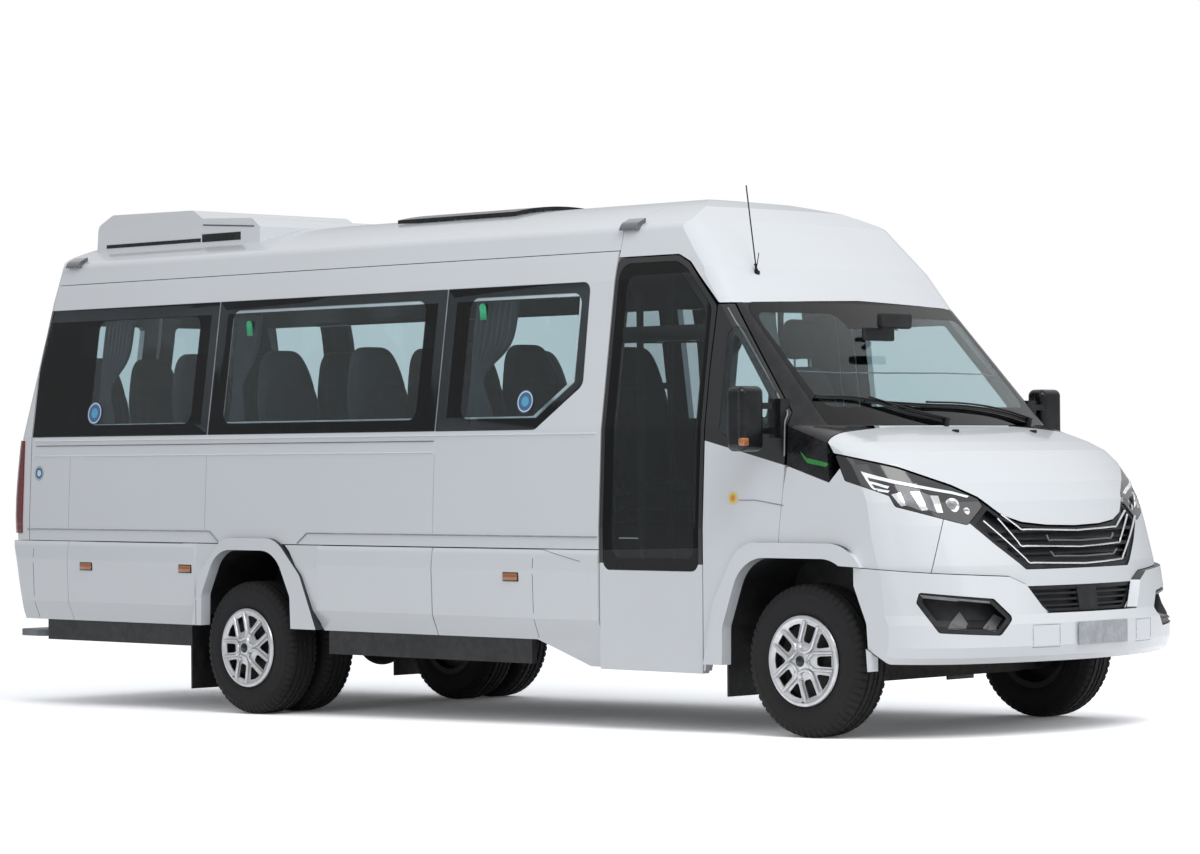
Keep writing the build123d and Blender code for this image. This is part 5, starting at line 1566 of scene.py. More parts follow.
# ---------------------------------------------------------------- outside trim
@dataclass
class SideTrim(Assembly):
    """Shut lines, mouldings and markers on both sides, and plain discs and labels on the right."""

    marker_height: float = 0.74
    marker_places: tuple[float, ...] = (-5.551, -4.640, -1.991)
    marker_parts: tuple[tuple[str, Look, str, float, float, float], ...] = (
        ("bezel", Look.BLACK_PLASTIC, "black_plastic", 0.058, 0.024, 0.004),
        ("lens", Look.AMBER, "lamp_grey", 0.052, 0.018, 0.009))

    def build(self) -> None:
        """Drops the trim of both sides on the body."""
        for side in Side:
            panel = (f"side_{side.word}", "side_glass", "skirts", "rear_bumper", "flares", "cab_panels",
                     "rear_wall")
            self.lines(side, panel)
            self.markers(side, panel)
        for name, x, z, radius, core in (("disc_a", -5.53, 1.635, 0.066, (0.10, 0.42, 0.66)),
                                         ("disc_b", -1.93, 1.645, 0.060, (0.10, 0.42, 0.66)),
                                         ("disc_c", -6.03, 1.285, 0.042, (0.78, 0.82, 0.86))):
            self.disc(name, (x, z), radius, (0.022, 0.14, 0.33), core)
        self.disc("disc_d", (-0.450, 1.150), 0.033, (0.83, 0.66, 0.10), (0.85, 0.27, 0.05))
        for k, (x, z) in enumerate(((-4.20, 2.09), (-2.31, 2.12))):
            outline = [(-0.024, -0.04), (0.024, -0.04), (0.024, 0.03), (0.012, 0.044), (-0.012, 0.044),
                       (-0.024, 0.03)]
            spot = self.draper.line(("side_glass",), [(x, z), (x + 0.01, z)], Facing.SIDE)[0]
            piece = self.bench.prism(outline,
                                     lambda a, b, d, s=spot: (s.x + a, s.y - 0.0015 + d - b * 0.13, s.z + b),
                                     0.0012)
            self.bench.finish(piece, f"green_label_{k}", Look.GREEN, "white_paint")

    def lines(self, side: Side, panel: Sequence[str]) -> None:
        """Every shut line and moulding of one side, and the painted shade inside the belt groove.

        Args:
            side: Which side.
            panel: What the lines lie on.
        """
        joint_and_groove_shade, rail, paint = Look.SHADOW_LINE, Look.MOULDING, Look.PAINT
        front = -1.374 if side is Side.RIGHT else -1.28
        rows = [
            # A dark line painted as the shade inside the belt groove.
            ("belt_groove_shade", joint_and_groove_shade, [(-6.11, 1.446), (-2.60, 1.446)], 0.0055, 0.4),
            ("belt_bead", paint, [(-6.11, 1.386), (-2.60, 1.386)], 0.007, 0.6),
            ("upper_bead", paint, [(-6.11, 1.475), (-1.40, 1.475)], 0.007, 0.6),
            ("rub_line_rear", rail, [(-6.13, 0.955), (-4.434, 0.955), (-4.359, 0.897)], 0.0075, 0.45),
            ("rub_line_front", rail, [(-3.721, 0.867), (-3.60, 0.951), (front, 0.951)], 0.0075, 0.45),
            ("flap_line_rear", joint_and_groove_shade, [(-6.13, 0.886), (-4.37, 0.882)], 0.0022, 0.5),
            ("flap_line_front", joint_and_groove_shade, [(-3.69, 0.884), (-1.772, 0.884), (-1.488, 0.826)], 0.0022, 0.5)]
        rows += [(f"seam_{k}", joint_and_groove_shade, [(x, 0.885), (x, 0.43)], 0.0020, 0.5)
                 for k, x in enumerate((-6.06, -5.733, -4.53, -3.521, -2.593, -1.83))]
        rows += [(f"panel_joint_{k}", rail, [(x, 1.375), (x, 0.962)], 0.0012, 0.5)
                 for k, x in enumerate((-5.733, -4.478, -2.593))]
        rows += [(f"window_joint_{k}", rail, [(x, 1.500), (x, 2.248)], 0.0042, 0.5)
                 for k, x in enumerate((-4.478, -2.593))]
        for name, look, line, radius, flat in rows:
            points = self.draper.line(panel, line, Facing.SIDE, side, 0.05)
            if len(points) < 2:
                continue
            piece = self.bench.rod(points, radius, sides=2, flat=flat)
            self.bench.finish(piece, f"{name}_{side.word}", look,
                              "white_paint" if look is paint else "grey_plastic")

    def markers(self, side: Side, panel: Sequence[str]) -> None:
        """Amber side markers in dark bezels.

        Args:
            side: Which side.
            panel: What they sit on.
        """
        z, s = self.marker_height, side.value
        for k, x in enumerate(self.marker_places):
            spot = self.draper.line(panel, [(x, z), (x + 0.01, z)], Facing.SIDE, side)[0]
            for name, look, slot, width, tall, deep in self.marker_parts:
                ys = sorted((spot.y - s * 0.010, spot.y + s * deep))
                piece = self.bench.block((x - width, ys[0], z - tall), (x + width, ys[1], z + tall), 0.0035,
                                         3)
                self.bench.finish(piece, f"side_marker_{name}_{k}_{side.word}", look, slot)

    def disc(self, name: str, place: Pair, radius: float, colour: Colour,
             core: Colour) -> None:
        """A plain printed disc on the right side.

        Args:
            name: Its name.
            place: Its middle, as x and z.
            radius: Its radius.
            colour: The colour of its ring.
            core: The colour of its middle.
        """
        def lift(u: float, v: float) -> Vector:
            """A point of the disc by its turn and its share of the radius."""
            a = u * 2 * math.pi
            spot = (place[0] + radius * v * math.cos(a), place[1] + radius * v * math.sin(a))
            start, heading = Facing.SIDE.ray(*spot, Side.RIGHT)
            found = self.draper.hit(("side_glass", "side_right", "cab_panels", "fenders", "rear_wall"), start,
                                    heading)
            return (found or Vector((spot[0], -1.0, spot[1]))) + Vector((0, -0.0012, 0))

        piece = self.bench.surface(32, 6, lift, 1e-5)
        middle = lift(0.0, 0.0)
        finish = Decal(f"{name}_film", colour, tuple(middle), radius, (0.83, 0.86, 0.88), core)
        self.bench.finish(piece, name, finish, "white_paint")


@dataclass
class Nose(Assembly):
    """Grille bars, light strips, lamp inners, fog lamp facets, washer jets and the plate's border."""

    bars: tuple[tuple[str, tuple[Pair, ...]], ...] = (
        ("a", ((-0.491, 1.070), (-0.375, 0.996), (0.0, 0.985), (0.375, 0.996), (0.491, 1.070))),
        ("b", ((-0.513, 1.051), (-0.388, 0.918), (0.0, 0.907), (0.388, 0.918), (0.513, 1.051))),
        ("c", ((-0.600, 1.041), (-0.365, 0.838), (0.0, 0.828), (0.365, 0.838), (0.600, 1.041))))
    dark_bars: tuple[tuple[str, tuple[Pair, ...]], ...] = (
        ("d", ((-0.262, 0.966), (-0.245, 0.943), (0.0, 0.937), (0.245, 0.943), (0.262, 0.966))),
        ("e", ((-0.262, 0.890), (-0.235, 0.868), (0.0, 0.862), (0.235, 0.868), (0.262, 0.890))))

    def build(self) -> None:
        """Builds everything on the vehicle's face."""
        face = ("grille", "front_face", "front_bumper", "lower_grilles")
        for rows, look, radius in ((self.bars, Look.BRIGHT_BAR, 0.0065),
                                   (self.dark_bars, Look.DULL_BAR, 0.0055)):
            for name, line in rows:
                points = self.bowed(line)
                if len(points) > 2:
                    piece = self.bench.rod(points, radius, sides=3, flat=0.8, smooth=True)
                    self.bench.finish(piece, f"grille_bar_{name}", look, "wheel_silver")
        for side in Side:
            self.lamp(side)
            self.fog(side)
        for k, (x, y) in enumerate(((0.269, -0.156), (0.239, 0.502))):
            spot = self.draper.line(("bonnet",), [(x, y), (x + 0.01, y)], Facing.TOP)[0]
            piece = self.bench.block((x - 0.02, y - 0.011, spot.z - 0.004),
                                     (x + 0.014, y + 0.011, spot.z + 0.012), 0.005, 3)
            self.bench.finish(piece, f"washer_jet_{k}", Look.SEAL, "black_plastic", "bonnet")
        self.plate(face)

    def bowed(self, line: Sequence[Pair]) -> list[Vector]:
        """A bar's points over the ribbed grille, with an even bow in plan.

        Args:
            line: The bar's y and z points.

        Returns:
            Its points.
        """
        found = self.draper.line(("grille",), line, Facing.FRONT, step=0.03, reach=0.022)
        if len(found) < 3:
            return []
        crown = max(p.x for p in found if abs(p.y) < 0.12)
        tips = [p for p in found if abs(p.y) > 0.30]
        bow = sum((crown - p.x) / p.y ** 2 for p in tips) / max(len(tips), 1)
        return [Vector((crown + 0.011 - bow * p.y ** 2, p.y, p.z)) for p in found]

    def lamp(self, side: Side) -> None:
        """One headlamp's light strips, fins, projector and dark trim.

        Args:
            side: Which side.
        """
        on = ("headlamps",)
        top = [(-0.442, 1.278), (-0.388, 1.261), (-0.296, 1.236), (-0.118, 1.199), (-0.014, 1.180),
               (0.071, 1.157)]
        low = [(-0.413, 1.248), (-0.380, 1.241), (-0.290, 1.219), (-0.110, 1.184), (-0.014, 1.167),
               (0.060, 1.149)]
        riser = ([(-0.442, 1.278), (-0.418, 1.235), (-0.390, 1.190)],
                 [(-0.424, 1.268), (-0.404, 1.232), (-0.374, 1.188)])
        prongs = ([(-0.408, 1.233), (-0.312, 1.206)], [(-0.404, 1.222), (-0.322, 1.195)])
        lower = ([(-0.385, 1.199), (-0.312, 1.186)], [(-0.385, 1.187), (-0.320, 1.176)])
        pieces = [self.draper.patch(on, (top, low), Facing.CORNER, side, 0.003, (30, 2))]
        for edges in (riser, prongs, lower):
            pieces.append(self.draper.patch(on, edges, Facing.CORNER, side, 0.003, (8, 2)))
        self.bench.finish(pieces, f"light_strip_{side.word}", Look.LED, "wheel_silver")
        fins = [([(-0.305, 1.168), (-0.262, 1.178)], [(-0.262, 1.112), (-0.238, 1.116)]),
                ([(-0.215, 1.180), (-0.172, 1.182)], [(-0.165, 1.090), (-0.135, 1.094)]),
                ([(-0.122, 1.162), (-0.082, 1.160)], [(-0.092, 1.082), (-0.062, 1.080)])]
        blades = [self.draper.patch(on, edges, Facing.CORNER, side, 0.0025, (4, 6)) for edges in fins]
        self.bench.finish(blades, f"lamp_fins_{side.word}", Look.CHROME, "wheel_silver")
        hood = [([(-0.262, 1.178), (-0.215, 1.180)], [(-0.238, 1.116), (-0.165, 1.090)]),
                ([(-0.172, 1.182), (-0.122, 1.162)], [(-0.135, 1.094), (-0.092, 1.082)])]
        shades = [self.draper.patch(on, edges, Facing.CORNER, side, 0.0015, (3, 4)) for edges in hood]
        self.bench.finish(shades, f"lamp_hoods_{side.word}", Look.DULL_BAR, "lamp_dark")
        for name, a, b, radius, look in (("bowl", -0.018, 1.112, 0.037, Look.CHROME),
                                         ("eye", -0.018, 1.112, 0.026, Look.LENS),
                                         ("small_eye", 0.052, 1.085, 0.018, Look.CHROME)):
            start, heading = Facing.CORNER.ray(a, b, side)
            spot = self.draper.hit(on, start, heading)
            if spot is None:
                continue
            bpy.ops.mesh.primitive_uv_sphere_add(segments=32, ring_count=16, radius=radius, location=spot)
            ball = bpy.context.object
            ball.data.transform(ball.matrix_world)
            ball.matrix_world = Matrix.Identity(4)
            out = -Vector(heading)
            squash = 0.30 if name != "eye" else 0.55
            turn = out.to_track_quat("Z", "Y").to_matrix().to_4x4()
            flatten = turn @ Matrix.Scale(squash, 4, (0, 0, 1)) @ turn.inverted()
            ball.data.transform(Matrix.Translation(spot) @ flatten @ Matrix.Translation(-spot))
            self.bench.finish(ball, f"lamp_{name}_{side.word}", look, "wheel_silver", smooth=60)

    def fog(self, side: Side) -> None:
        """Facets inside one fog lamp opening.

        Args:
            side: Which side.
        """
        on = ("lower_grilles", "front_bumper")
        facets = [([(-0.188, 0.700), (0.144, 0.664)], [(-0.170, 0.684), (0.150, 0.650)]),
                  ([(0.008, 0.616), (0.045, 0.559)], [(-0.060, 0.540), (0.030, 0.533)]),
                  ([(0.178, 0.600), (0.220, 0.578)], [(0.118, 0.536), (0.172, 0.522)])]
        pieces = [self.draper.patch(on, edges, Facing.CORNER, side, 0.006, (10, 3)) for edges in facets]
        self.bench.finish(pieces, f"fog_facets_{side.word}", Look.GREY_PLASTIC, "grey_plastic")

    def plate(self, face: Sequence[str]) -> None:
        """The blank plate's border and the square covers beside it.

        Args:
            face: What the covers lie on.
        """
        frame = [(1.0335, y, z)
                 for y, z in ((-0.186, 0.450), (0.186, 0.450), (0.186, 0.552), (-0.186, 0.552))]
        self.bench.finish(self.bench.rod(frame, 0.0032, True, 2), "plate_border", Look.PLATE_RIM,
                          "plate_white")
        for side, low, high in ((Side.RIGHT, -0.465, -0.302), (Side.LEFT, 0.302, 0.465)):
            ring = [(low, 0.442), (high, 0.442), (high, 0.548), (low, 0.548), (low, 0.442)]
            points = self.draper.line(face, ring, Facing.FRONT, step=0.02)
            if len(points) > 4:
                piece = self.bench.rod(points, 0.0016, sides=2)
                self.bench.finish(piece, f"cover_line_{side.word}", Look.MOULDING, "white_paint")


@dataclass
class Wipers(Assembly):
    """Two wiper arms with their blades on the windscreen."""

    def build(self) -> None:
        """Builds both wipers."""
        rows = (("right",
                 [Vector((-0.083, -0.805, 1.628)), Vector((0.0, -0.503, 1.610)),
                  Vector((0.081, -0.310, 1.553)), Vector((0.139, -0.085, 1.509))]),
                ("left",
                 [Vector((0.0, -0.532, 1.604)), Vector((0.061, -0.137, 1.586)), Vector((0.067, 0.187, 1.578)),
                  Vector((0.065, 0.466, 1.549)), Vector((0.063, 0.671, 1.511))]))
        lean = Vector((0.30, 0.0, 1.0)).normalized()
        for name, line in rows:
            blade = [point + lean * 0.012 for point in line]
            arm = [point + lean * 0.030 for point in line[1:]]
            hub = line[-1] + Vector((0.01, 0.0, -0.004))
            pieces = [self.bench.rod(blade, 0.0055, sides=2, flat=1.6, smooth=True),
                      self.bench.rod([p + lean * 0.006 for p in blade], 0.0085, sides=2, flat=0.5,
                                     smooth=True),
                      self.bench.rod(arm[:-1] + [hub + lean * 0.03], 0.009, sides=2, flat=0.55, smooth=True),
                      self.bench.rod([hub - lean * 0.01, hub + lean * 0.035], 0.017, sides=4)]
            self.bench.finish(pieces, f"wiper_{name}", Look.BLACK_PLASTIC, "black_plastic")


@dataclass
class ArchPanels(Assembly):
    """Panels between the rear wheel flares and the skirts, on both sides."""

    heights: tuple[float, ...] = (0.425, 0.530, 0.600, 0.680, 0.730, 0.776, 0.810, 0.850, 0.884)
    skirt: tuple[Pair, ...] = ((0.420, 0.962), (0.530, 1.006), (0.776, 1.014), (0.900, 1.002))
    thick: float = 0.02
    rear_edge: tuple[Pair, ...] = ((0.300, -4.585), (0.640, -4.505), (0.745, -4.470), (0.850, -4.390),
                                   (0.900, -4.33))
    front_edge: tuple[Pair, ...] = ((0.300, -3.465), (0.640, -3.625), (0.745, -3.670), (0.850, -3.750),
                                    (0.900, -3.81))

    def build(self) -> None:
        """Builds both panels of each side."""
        count = len(self.heights) - 1
        for name, edge, far in (("rear", self.rear_edge, -4.672), ("front", self.front_edge, -3.468)):
            def place(u: float, v: float) -> Point:
                """A point of the panel by its share across and its height's number."""
                z = self.heights[round(v * count)]
                x = far + (read_rows(edge, z) - far) * u
                return x, -read_rows(self.skirt, z) + 0.005, z

            panel = self.bench.surface(4, count, place)
            self.bench.thicken(panel, (0, self.thick, 0))
            twin = self.bench.mirrored(panel)
            self.bench.finish(panel, f"arch_panel_{name}_right", Look.PAINT, "white_paint")
            self.bench.finish(twin, f"arch_panel_{name}_left", Look.PAINT, "white_paint")


@dataclass
class Fittings(Assembly):
    """Mirror indicators, antenna, roof unit's vents with painted shade in its gap and groove, pillar strips
    with a painted highlight, and the painted shade of the crease over the fender.
    """

    def build(self) -> None:
        """Builds the small outside fittings."""
        for side in Side:
            self.indicator(side)
            self.pillar(side)
            self.unit_vents(side)
            self.crease(side)
        self.antenna()

    def antenna(self) -> None:
        """A thin rod and a short whip on a small foot."""
        foot = Vector((-0.628, -0.612, 2.268))
        out = Vector((0.45, -0.45, 0.77)).normalized()
        pieces = [self.bench.rod([foot - out * 0.012, foot + out * 0.006], 0.019, sides=5, flat=0.7),
                  self.bench.rod([foot, foot + out * 0.016, foot + out * 0.018 + Vector((-0.004, 0, 0.03))],
                                 0.010, sides=4),
                  self.bench.rod([foot + out * 0.018, foot + Vector((-0.052, -0.012, 0.438))], 0.0034,
                                 sides=2),
                  self.bench.rod([foot + out * 0.018, foot + Vector((0.030, -0.012, 0.098))], 0.0022,
                                 sides=2)]
        self.bench.finish(pieces, "antenna_rod", Look.SEAL, "black_plastic")
        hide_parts("antenna")

    def indicator(self, side: Side) -> None:
        """A clear strip with an amber end on the mirror's outer edge."""
        s = side.value
        body = "body" if side is Side.RIGHT else "driver_door"
        strip = self.bench.rod([(-0.186, s * 1.238, 1.60), (-0.178, s * 1.2425, 1.52),
                                (-0.176, s * 1.2425, 1.44),
                                (-0.180, s * 1.238, 1.415)], 0.011, sides=3, flat=0.32, smooth=True)
        self.bench.finish(strip, f"mirror_strip_{side.word}", Look.MOULDING, "grey_plastic", body)
        ys = sorted((s * 1.205, s * 1.2535))
        lens = self.bench.block((-0.185, ys[0], 1.402), (-0.1455, ys[1], 1.442), 0.009)
        self.bench.finish(lens, f"mirror_indicator_{side.word}", Look.AMBER, "lamp_grey", body)

    def pillar(self, side: Side) -> None:
        """The bright bead behind the pillar cover, whose grey also stands as a painted highlight along the
        pillar, and the plain green stripe at its foot.
        """
        on = ("pillar_covers", "cab_panels", "driver_door", "fenders")
        # The bead's grey also stands as a painted highlight along the pillar's edge.
        bead = self.draper.line(on, [(-0.575, 2.085), (-0.125, 1.562), (-0.121, 1.31)], Facing.SIDE, side,
                                0.05, 0.001)
        if len(bead) > 3:
            self.bench.finish(self.bench.rod(bead, 0.0035, sides=2, smooth=True), f"pillar_bead_{side.word}",
                              Look.MOULDING, "grey_plastic")
        upper = [(-0.020, 1.374), (0.020, 1.343), (0.080, 1.332), (0.155, 1.318)]
        lower = [(0.004, 1.340), (0.030, 1.318), (0.085, 1.309), (0.159, 1.296)]
        stripe = self.draper.patch(on, (upper, lower), Facing.SIDE, side, 0.0012, (12, 2))
        self.bench.finish(stripe, f"green_stripe_{side.word}", Look.LEAF_GREEN, "gloss_black")

    def unit_vents(self, side: Side) -> None:
        """Dark blocks painted as shade in the gap under the roof unit and its vent, and a dark line painted
        as shade in the groove along its front step.
        """
        ys = sorted((side.value * 0.5985, side.value * 0.6035))
        # Painted shade in the gap under the roof unit.
        shade_gap = self.bench.block((-5.86, ys[0], 2.625), (-4.98, ys[1], 2.646), 0.001, 1)
        vent = self.bench.block((-4.965, ys[0], 2.622), (-4.62, ys[1], 2.668), 0.001, 1)
        self.bench.finish([shade_gap, vent], f"roof_unit_vent_and_shade_{side.word}", Look.GLOSS_BLACK, "black_plastic")
        groove = self.bench.rod([(-4.955, side.value * 0.6005, 2.722), (-4.50, side.value * 0.6005, 2.694)],
                                0.004, sides=2)
        self.bench.finish(groove, f"roof_unit_groove_shade_{side.word}", Look.SHADOW_LINE, "grey_plastic")

    def crease(self, side: Side) -> None:
        """A grey line painted as the shade of the crease over the fender."""
        on = ("fenders", "front_bumper", "flares", "front_face", "cab_panels")
        # A grey line painted as the crease's shade.
        crease = self.draper.line(on, [(-0.410, 1.140), (-0.30, 1.140), (-0.12, 1.115)], Facing.SIDE, side,
                                  0.04)
        if len(crease) > 2:
            self.bench.finish(self.bench.rod(crease, 0.0028, sides=2, smooth=True),
                              f"fender_crease_{side.word}", Look.MOULDING, "grey_plastic")


@dataclass
class DriverHeadrest(Assembly):
    """The driver's headrest on two posts, standing over the seat back."""

    place: Point = (-1.285, 0.480, 1.965)

    def build(self) -> None:
        """Builds the headrest."""
        x, y, z = self.place
        pad = self.bench.block((x - 0.045, y - 0.125, z - 0.10), (x + 0.045, y + 0.125, z + 0.11), 0.040, 5)
        self.bench.finish(pad, "driver_headrest", Look.SEAT, "seat_cloth", smooth=60)
        posts = [self.bench.rod([(x, y + off, z - 0.19), (x, y + off, z - 0.09)], 0.006, sides=3)
                 for off in (-0.06, 0.06)]
        self.bench.finish(posts, "driver_headrest_posts", Look.BARE_STEEL, "wheel_silver")


# ---------------------------------------------------------------- cabin
@dataclass
class Seating(Assembly):
    """Padded seats: rows with an aisle, a rear bench and the driver's seat, all from one model."""

    base: float = 1.057
    width: float = 0.440
    cushion: float = 0.460
    pad: float = 0.130
    floor: float = 0.757
    row_fronts: tuple[float, ...] = (-2.100, -2.860, -3.620, -4.380)
    row_lines: tuple[float, ...] = (-0.640, -0.192, 0.640)
    bench_front: float = -5.330
    bench_pitch: float = 0.430
    driver: Pair = (-0.690, 0.480)
    driver_back: float = 0.84
    roundness: float = 5.5
    voxel: float = 0.015
    pressure: float = 4.0
    swell: float = 0.016
    frames: int = 20

    def pillow(self, low: Point, high: Point, cuts: int,
               shape: Callable[[Vector, Vector], Vector]) -> Object:
        """A closed soft form: a finely divided box drawn to a superellipsoid and then shaped.

        Args:
            low: Its lowest corner.
            high: Its highest corner.
            cuts: How finely it is divided.
            shape: Moves a point, given its place and its share of each half size.

        Returns:
            The form.
        """
        bpy.ops.mesh.primitive_cube_add(size=2)
        obj = bpy.context.object
        self.bench.alone(obj)
        bpy.ops.object.mode_set(mode="EDIT")
        bpy.ops.mesh.select_all(action="SELECT")
        bpy.ops.mesh.subdivide(number_cuts=cuts)
        bpy.ops.object.mode_set(mode="OBJECT")
        middle = (Vector(low) + Vector(high)) / 2
        half = (Vector(high) - Vector(low)) / 2
        for vertex in obj.data.vertices:
            share = vertex.co.copy()
            share /= sum(abs(c) ** self.roundness for c in share) ** (1 / self.roundness)
            place = Vector(middle[k] + half[k] * share[k] for k in range(3))
            vertex.co = shape(place, share)
        return obj

    def inflate(self, obj: Object) -> None:
        """Swells a pad by a short cloth simulation and keeps every point near its start.

        Args:
            obj: The pad.
        """
        self.bench.alone(obj)
        obj.data.remesh_voxel_size = self.voxel
        bpy.ops.object.voxel_remesh()
        start = [v.co.copy() for v in obj.data.vertices]
        cloth = obj.modifiers.new("cloth", "CLOTH")
        settings = cloth.settings
        settings.use_pressure, settings.uniform_pressure_force = True, self.pressure
        settings.effector_weights.gravity = 0.0
        settings.quality, settings.mass = 4, 0.4
        settings.tension_stiffness = settings.compression_stiffness = 12.0
        cloth.point_cache.frame_end = self.frames
        scene = bpy.context.scene
        for frame in range(1, self.frames + 1):
            scene.frame_set(frame)
        bpy.ops.object.modifier_apply(modifier=cloth.name)
        scene.frame_set(1)
        for vertex, first in zip(obj.data.vertices, start):
            move = vertex.co - first
            if move.length > self.swell:
                vertex.co = first + move.normalized() * self.swell

    def cushion_pad(self) -> Object:
        """The seat cushion, crowned, with two sewn channels."""
        def shape(p: Vector, s: Vector) -> Vector:
            """Crowns the top, draws the sides in and rolls the front edge down."""
            up = max(s.z, 0.0)
            p.z += 0.020 * up * (1 - s.x ** 2) * (1 - s.y ** 2) - 0.022 * up * max(s.x, 0.0) ** 6
            p.z -= 0.007 * up * sum(math.exp(-((s.y - c) / 0.07) ** 2) for c in (-0.52, 0.52))
            p.y *= 1 - 0.03 * (1 - abs(s.x)) * (1 - s.z ** 2)
            return p

        half = self.width / 2 - 0.006
        pad = self.pillow((-self.cushion, -half, 0.0), (0.0, half, self.pad), 22, shape)
        self.inflate(pad)
        return pad

    def back_pad(self) -> Object:
        """The seat back with its rounded head part and sewn channels."""
        half, rear = self.width / 2 - 0.004, -self.cushion

        def shape(p: Vector, s: Vector) -> Vector:
            """Leans the back, narrows its head part and hollows its front."""
            rise = (p.z - 0.06) / 0.87
            neck = max(0.0, min(1.0, (p.z - 0.60) / 0.33))
            p.y *= 1 - 0.40 * neck ** 1.5
            front = max(s.x, 0.0)
            p.x += -0.150 * rise + 0.012 * front * math.exp(-((p.z - 0.30) / 0.12) ** 2)
            p.x -= 0.012 * front * (1 - s.y ** 2) * math.exp(-((p.z - 0.55) / 0.15) ** 2)
            p.x -= 0.008 * front * math.exp(-((p.z - 0.70) / 0.012) ** 2)
            p.x -= 0.006 * front * sum(math.exp(-((s.y - c) / 0.07) ** 2) for c in (-0.55, 0.55)) * (1 - neck)
            return p

        pad = self.pillow((rear - 0.045, -half, 0.06), (rear + 0.065, half, 0.93), 30, shape)
        self.inflate(pad)
        return pad

    def frame_parts(self) -> Object:
        """Plinth, tray, two floor rails and the bracket between cushion and back."""
        drop = self.floor - self.base
        half = self.width / 2
        pieces = [self.bench.block((-0.43, -half + 0.10, drop), (-0.06, half - 0.10, -0.05), 0.012),
                  self.bench.block((-0.455, -half + 0.03, -0.055), (-0.01, half - 0.03, 0.006), 0.01),
                  self.bench.block((-0.47, -half + 0.06, drop), (-0.03, -half + 0.12, drop + 0.02), 0.006),
                  self.bench.block((-0.47, half - 0.12, drop), (-0.03, half - 0.06, drop + 0.02), 0.006),
                  self.bench.block((-0.505, -half + 0.05, -0.03), (-0.43, half - 0.05, 0.09), 0.015)]
        return self.bench.joined(pieces)

    def piping(self) -> Object:
        """The welt round the cushion."""
        half, back = self.width / 2 - 0.014, -self.cushion + 0.012
        ring = [(back, -half, 0.100), (-0.03, -half, 0.092), (-0.014, -half + 0.03, 0.088),
                (-0.014, half - 0.03, 0.088), (-0.03, half, 0.092), (back, half, 0.100)]
        return self.bench.rod(ring, 0.0035, True, 2, smooth=True)

    def build(self) -> None:
        """Places every seat."""
        models = (("seat_cushion", self.cushion_pad(), Look.SEAT), ("seat_back", self.back_pad(), Look.SEAT),
                  ("seat_frame", self.frame_parts(), Look.DARK_TRIM),
                  ("seat_piping", self.piping(), Look.DARK_TRIM))
        spots = [(x, y, 1.0) for x in self.row_fronts for y in self.row_lines]
        spots += [(self.bench_front, (k - 1.5) * self.bench_pitch, 0.95) for k in range(4)]
        spots.append((*self.driver, 1.1))
        for k, (x, y, wide) in enumerate(spots):
            move = Matrix.Translation((x, y, self.base)) @ Matrix.Scale(wide, 4, (0, 1, 0))
            for name, model, look in models:
                lower = name == "seat_back" and wide > 1
                size = Matrix.Scale(self.driver_back if lower else 1.0, 4, (0, 0, 1))
                piece = self.bench.again(model, move @ size)
                slot = "seat_cloth" if look is Look.SEAT else "black_plastic"
                self.bench.finish(piece, f"{name}_{k}", look, slot, smooth=60)
                if k == 0 and name == "seat_cushion":
                    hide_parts("seats")
        for _, model, _ in models:
            bpy.data.objects.remove(model)


@dataclass
class Curtains(Assembly):
    """Gathered curtains tied at the windows' rear ends, with their rails."""

    top: float = 2.175
    bottom: float = 1.555
    pleats: int = 7
    pleat_depth: float = 0.020
    tie_height: float = 0.34
    tie_reach: float = 0.13
    below_tie: float = 0.62
    left_share: float = 1.2
    wall_y: float = 0.995
    wall_lean: float = 0.145
    wall_gap: float = 0.072
    rail_over: float = 0.012
    rails: tuple[float, ...] = (1.05, 1.05, 0.58)

    def wall(self, z: float) -> float:
        """How far from the middle line the curtains hang at a height, along the leaning side."""
        return self.wall_y - self.wall_lean * (z - 1.50) - self.wall_gap

    def cloth(self, x: float, width: float, waist: float, side: Side) -> Object:
        """One curtain, tied at a third of its height.

        Args:
            x: Its rear edge.
            width: Its width at the rail.
            waist: Its width where it is tied.
            side: Which side.

        Returns:
            The curtain.
        """
        tie = self.bottom + self.tie_height * (self.top - self.bottom)

        def place(u: float, v: float) -> Point:
            """A point of the cloth by its share of the width and of the drop."""
            z = self.top - (self.top - self.bottom) * v
            near = math.exp(-((z - tie) / self.tie_reach) ** 2)
            spread = waist * near + width * (self.below_tie if z < tie else 1.0) * (1 - near)
            deep = self.pleat_depth * (1 - 0.55 * near)
            ripple = math.sin(u * self.pleats * 2 * math.pi + 0.6 * math.sin(5 * v))
            return x + spread * u, side.value * (self.wall(z) + deep * ripple), z

        return self.bench.surface(self.pleats * 12, 34, place)

    def build(self) -> None:
        """Hangs every curtain."""
        spots = ((-5.56, 0.24, 0.09), (-4.345, 0.17, 0.07), (-2.405, 0.30, 0.09))
        for side in Side:
            for k, (x, width, waist) in enumerate(spots):
                wide = width if side is Side.RIGHT else width * self.left_share
                y, z = side.value * self.wall(self.top), self.top + self.rail_over
                rail = self.bench.rod([(x - 0.03, y, z), (x + self.rails[k], y, z)], 0.011)
                rail_name = f"curtain_rail_{k}_{side.word}"
                self.bench.finish(rail, rail_name, Look.DARK_TRIM, "black_plastic")
                piece = self.cloth(x, wide, waist, side)
                self.bench.finish(piece, f"curtain_{k}_{side.word}", Look.CURTAIN, "seat_cloth", smooth=80)


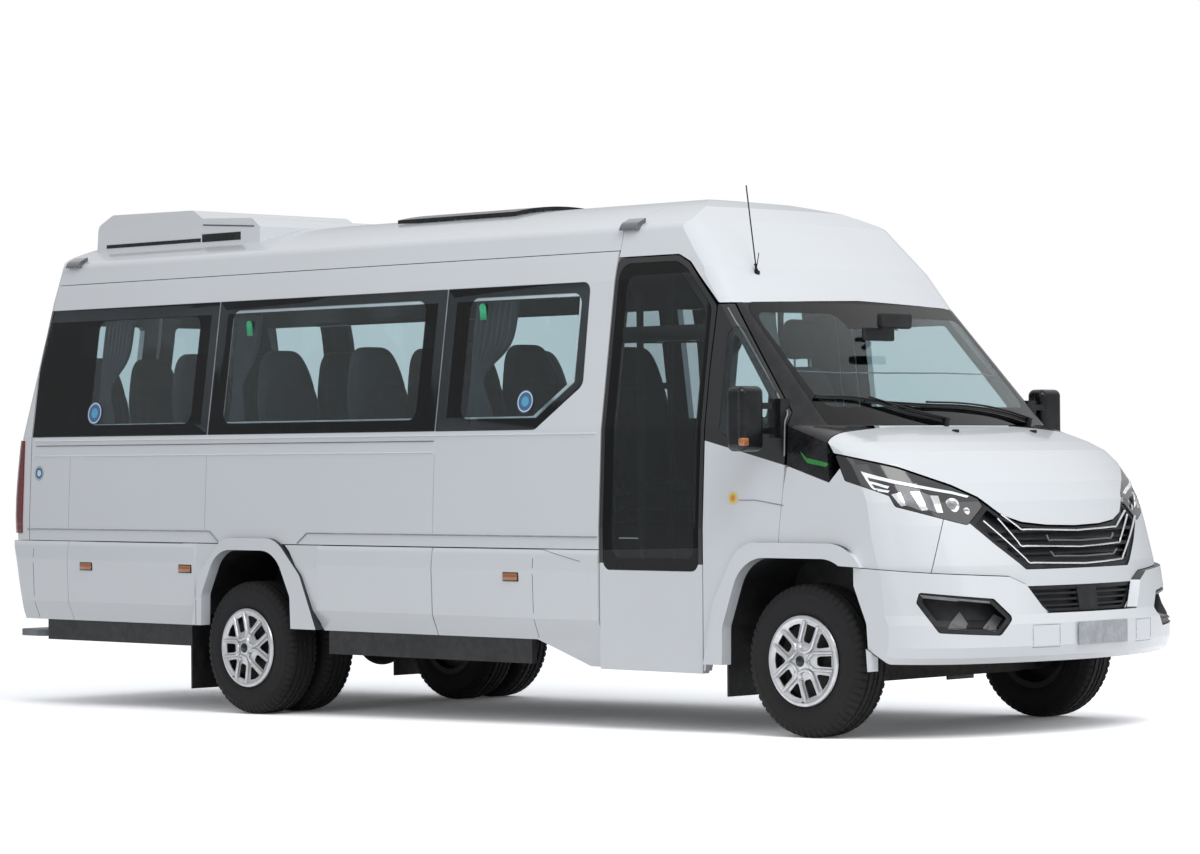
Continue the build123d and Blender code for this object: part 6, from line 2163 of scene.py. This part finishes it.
@dataclass
class CabInterior(Assembly):
    """Steering wheel, instrument hood, dash top with vents, mirror block and grab rails."""

    centre: Point = (-0.462, 0.480, 1.272)
    radius: float = 0.203
    tilt: float = -28.0
    rim: float = 0.0148
    spokes: tuple[int, ...] = (90, 180, 270)
    spoke: tuple[Pair, ...] = ((0.05, -0.006), (0.12, -0.004), (0.195, 0.0))
    rail_places: tuple[Pair, ...] = ((-1.42, -0.40), (-1.42, 0.46))

    def build(self) -> None:
        """Builds what shows behind the windscreen."""
        self.wheel()
        self.dash()
        pieces = [self.bench.block((-0.20, -0.20, 1.985), (-0.155, 0.035, 2.062), 0.014),
                  self.bench.rod([(-0.24, -0.08, 2.05), (-0.27, -0.08, 1.99)], 0.012),
                  self.bench.block((-0.30, -0.20, 1.925), (-0.275, 0.04, 1.995), 0.012)]
        self.bench.finish(pieces, "sensor_block", Look.DARK_TRIM, "black_plastic")
        rails = [self.bench.rod([(x, y, 0.78), (x, y, 2.42)], 0.016, sides=4) for x, y in self.rail_places]
        rails.append(self.bench.rod([(-1.42, -0.40, 1.72), (-1.42, -0.86, 1.72)], 0.016, sides=4))
        self.bench.finish(rails, "grab_rails", Look.DARK_TRIM, "black_plastic")

    def wheel(self) -> None:
        """The steering wheel: a round rim, three spokes and a boss."""
        tilt = Matrix.Translation(self.centre) @ Matrix.Rotation(math.radians(self.tilt), 4, "Y")
        ring = [(self.radius * math.cos(k * math.pi / 24), self.radius * math.sin(k * math.pi / 24), 0.0)
                for k in range(48)]
        pieces = [self.bench.rod(ring, self.rim, True, 4)]
        for angle in self.spokes:
            c, s = math.cos(math.radians(angle)), math.sin(math.radians(angle))
            path = [(reach * c, reach * s, up) for reach, up in self.spoke]
            pieces.append(self.bench.rod(path, 0.016, sides=3, flat=0.5))
        pieces.append(self.bench.block((-0.038, -0.038, -0.018), (0.038, 0.038, 0.022), 0.012, 4))
        wheel = self.bench.joined(pieces)
        wheel.data.transform(tilt)
        self.bench.finish(wheel, "steering_wheel_rim", Look.BLACK_PLASTIC, "black_plastic", "steering_wheel")
        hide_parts("steering_wheel")

    def dash(self) -> None:
        """The instrument hood and the stepped dash top with its vents."""
        pieces = [self.bench.block((-0.245, 0.26, 1.36), (-0.16, 0.70, 1.455), 0.03, 4),
                  self.bench.block((-0.30, -0.78, 1.372), (-0.13, 0.20, 1.405), 0.015)]
        pieces += [self.bench.block((-0.338, y, 1.30), (-0.318, y + 0.13, 1.35), 0.006)
                   for y in (-0.72, -0.20, 0.0, 0.66)]
        self.bench.finish(pieces, "dash_top", Look.DARK_TRIM, "black_plastic")


ASSEMBLIES: tuple[type[Assembly], ...] = (
    Wheels, SideTrim, ArchPanels, Nose, Wipers, Fittings, Seating, DriverHeadrest, Curtains, CabInterior)


def main() -> None:
    """Builds the studio and every sub-assembly in order."""
    logging.basicConfig(level=logging.INFO, format="%(name)s: %(message)s")
    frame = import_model()
    bench = Bench(Paintbox())
    Studio().build(bench)
    PackedParts().dress(bench, frame)
    draper = Draper(bench)
    for assembly in ASSEMBLIES:
        assembly(bench, draper).build()
    bpy.context.view_layer.update()


if __name__ == "__main__":
    main()
